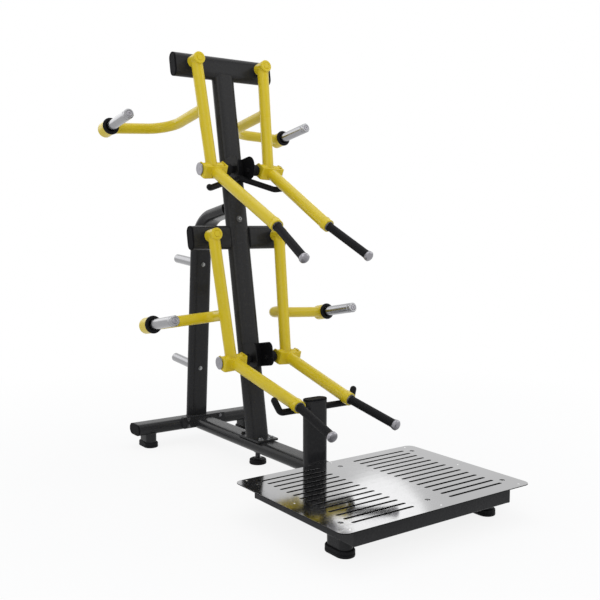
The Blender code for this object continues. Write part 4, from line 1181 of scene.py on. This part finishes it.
def make_forearm(name, side, lift, grip):
    """Yoke, web, tube and collar, welded together, the plated shaft with its disc, and a bush."""
    collar_frame = lift.inverted() @ grip
    end = collar_frame.translation
    along = -collar_frame.col[1].to_3d()
    body = name + "_forearm_body"
    bore = CROSS_SHAFT + TOUCH
    yoke = bmesh.new()
    web = part_of(bent_strip)
    ring = straight(-COLLAR_HALF, COLLAR_HALF, COLLAR, bore)
    collar = part_of(turned, ring, end, along, soft=0.0018, loop=True)
    tube_along = end.normalized()
    start = tube_along * (WEB[0] + WEB[1]) / 2
    weld_round(yoke, ARM, tube_along * end.length * 0.5, -tube_along, web)
    weld_round(yoke, ARM, tube_along * end.length * 0.5, tube_along, collar)
    turned(yoke, straight(0, end.length - start.length - 0.008, ARM), start, tube_along)
    joined(yoke, web, collar)
    piece(name + "_forearm_tube", yoke, lift, body, YELLOW, name + "_forearm")

    head = [(0, CROSS_SHAFT), (0, DISC - 0.004), (0.0022, DISC - 0.004), (0.0026, DISC - 0.0004)]
    head += [(0.0032, DISC), (0.0066, DISC), (0.0086, DISC - 0.0030), (0.0086, 0.0200)]
    head += [(0.0080, 0.0192), (0.0080, 0.0070), (0.0090, 0.0062), (0.0090, 0)]
    shaft = [(-YOKE_OUTER, 0), (-YOKE_OUTER, CROSS_SHAFT), *shifted(head, YOKE_OUTER + TOUCH)]
    pin = part_of(turned, shaft, (0, 0, 0), (side, 0, 0), soft=0.0005)
    piece(name + "_hinge_pin", pin, lift, body, BRIGHT, name + "_cross_shaft")
    rim = shifted([(-0.001, bore), (-0.001, 0.0245), (0.0012, 0.0238), (0.0012, bore)], COLLAR_HALF)
    bush = part_of(turned, rim, end, along, FINE_SIDES, 0.0004, True)
    piece(name + "_collar_bush", bush, lift, body, ZINC)


def make_grip(name, grip):
    """The turning grip: plated cap and flange, and a ribbed rubber sleeve."""
    flange = COLLAR_HALF + 0.004
    shaft = shifted([(0.0015, 0), (0.0015, CROSS_SHAFT)], -COLLAR_HALF)
    shaft += shifted([(0.0016, CROSS_SHAFT), (0.0016, 0.0205), (0.004, 0.0205)], COLLAR_HALF)
    shaft += [(flange, GRIP_CORE), (GRIP_END, GRIP_CORE)]
    cap = [(0, GRIP_CAP - 0.0006), (0.001, GRIP_CAP), (0.009, GRIP_CAP), (0.014, GRIP_CAP - 0.0050)]
    cap += [(0.0155, 0.0120), (0.0160, 0.0060), (0.0160, 0)]
    bar = part_of(turned, shaft + shifted(cap, GRIP_END), soft=0.0012)
    piece(name + "_grip_bar", bar, grip, name + "_grip", BRIGHT, name + "_grip_shaft")

    near = flange + TOUCH
    far = GRIP_END - TOUCH
    bore = GRIP_CORE + TOUCH
    sleeve = shifted([(0, bore), (0, GRIP + 0.002), (0.006, GRIP + 0.002), (0.009, GRIP)], near)
    pitch = (far - near - 0.024) / GRIP_RIBS
    for rib in range(GRIP_RIBS):
        place = near + 0.012 + rib * pitch
        sleeve += [(place + 0.30 * pitch, GRIP - 0.0005), (place + 0.50 * pitch, GRIP)]
        sleeve += [(place + 0.80 * pitch, GRIP), (place + pitch, GRIP - 0.0005)]
    sleeve += shifted([(-0.009, GRIP), (-0.006, GRIP + 0.002), (0, GRIP + 0.002), (0, bore)], far)
    rubber = part_of(turned, sleeve, soft=0.0006, loop=True)
    piece(name + "_grip_rubber", rubber, grip, name + "_grip", RUBBER, name + "_grip_sleeve")


def make_arms():
    for level in LEVELS:
        for hand, side in HANDS.items():
            name = level + "_" + hand
            swing, lift, grip = arm_frames(name)
            make_swing_arm(name, level, side, swing, swing.inverted() @ lift.translation)
            make_forearm(name, side, lift, grip)
            make_grip(name, grip)


def set_camera():
    data = bpy.data.cameras.new("camera")
    data.lens = CAMERA_LENS
    data.sensor_width = SENSOR
    data.clip_end = 60
    camera = bpy.data.objects.new("camera", data)
    camera.location = CAMERA_PLACE
    camera.rotation_euler = (math.radians(90 - CAMERA_DROP), 0, math.radians(-CAMERA_TURN))
    bpy.context.scene.collection.objects.link(camera)
    bpy.context.scene.camera = camera


def area_light(name, place, aim, size, power, shape="RECTANGLE"):
    data = bpy.data.lights.new(name, "AREA")
    data.shape = shape
    data.size, data.size_y = size
    data.energy = power
    lamp = bpy.data.objects.new(name, data)
    lamp.location = place
    lamp.rotation_euler = (Vector(aim) - Vector(place)).to_track_quat("-Z", "Y").to_euler()
    lamp.visible_camera = False
    bpy.context.scene.collection.objects.link(lamp)


def make_world():
    """Soft light on the object, and plain white wherever the world itself is seen."""
    world = bpy.data.worlds.new("studio")
    world.use_nodes = True
    made = Shading(world.node_tree)
    soft = made.node("ShaderNodeBackground", {}, {"Color": (0.93, 0.95, 1.0, 1), "Strength": WORLD_LIGHT})
    white = made.node("ShaderNodeBackground", {}, {"Color": (1, 1, 1, 1)})
    mix = made.node("ShaderNodeMixShader", {}, {0: made.seen(), 1: soft, 2: white})
    made.tree.links.new(mix.socket, made.tree.nodes["World Output"].inputs[0])
    bpy.context.scene.world = world


def make_stage():
    """A pale floor that keeps a faint shadow near the machine and looks white further out."""
    constants = {"Base Color": (0.9, 0.9, 0.9, 1), "Roughness": 0.9, "Specular IOR Level": 0.1}
    made = Finish("studio_floor", None, constants)
    far = made.node("ShaderNodeVectorMath", {"operation": "LENGTH"}, {0: made.place}, 1).between(1.0, 3.2)
    white = made.node("ShaderNodeEmission", {}, {"Color": (1, 1, 1, 1)})
    whiteness = made.seen() * (FLOOR_WHITE + far * (1 - FLOOR_WHITE))
    pale = Value(made, made.shader.outputs[0])
    mix = made.node("ShaderNodeMixShader", {}, {0: whiteness, 1: pale, 2: white})
    made.tree.links.new(mix.socket, made.tree.nodes["Material Output"].inputs[0])
    work = bmesh.new()
    bmesh.ops.create_grid(work, x_segments=2, y_segments=2, size=30)
    mesh = bpy.data.meshes.new("studio_floor")
    work.to_mesh(mesh)
    work.free()
    mesh.materials.append(made.material)
    floor = bpy.data.objects.new("studio_floor", mesh)
    bpy.context.scene.collection.objects.link(floor)


def light_studio():
    """Large soft lamps round the machine, and one whose reflection brightens the tread plate."""
    area_light("left_softbox", (-3.2, -3.4, 3.4), (0, 0, 1.0), (4.4, 3.6), 58)
    area_light("right_softbox", (3.4, -2.2, 2.6), (0, 0, 1.0), (3.0, 3.6), 34)
    area_light("top_softbox", (0.2, 0.4, 4.6), (0, 0.2, 0.5), (4.2, 4.2), 50)
    area_light("back_softbox", (-1.5, 4.2, 2.8), (0, 0.4, 1.0), (3.4, 2.6), 27)
    area_light("plate_glow", (3.16, 2.89, 2.50), (0, -0.72, 0.145), (1.15, 1.76), 4.4, "ELLIPSE")


def main():
    set_camera()
    make_world()
    make_stage()
    light_studio()
    make_base()
    make_feet()
    make_platform()
    make_tread_plate()
    make_front_post()
    make_rear_post()
    make_column()
    make_plugs()
    make_stops()
    make_arms()
    bpy.context.scene.view_settings.view_transform = "Standard"
    bpy.context.view_layer.update()


main()
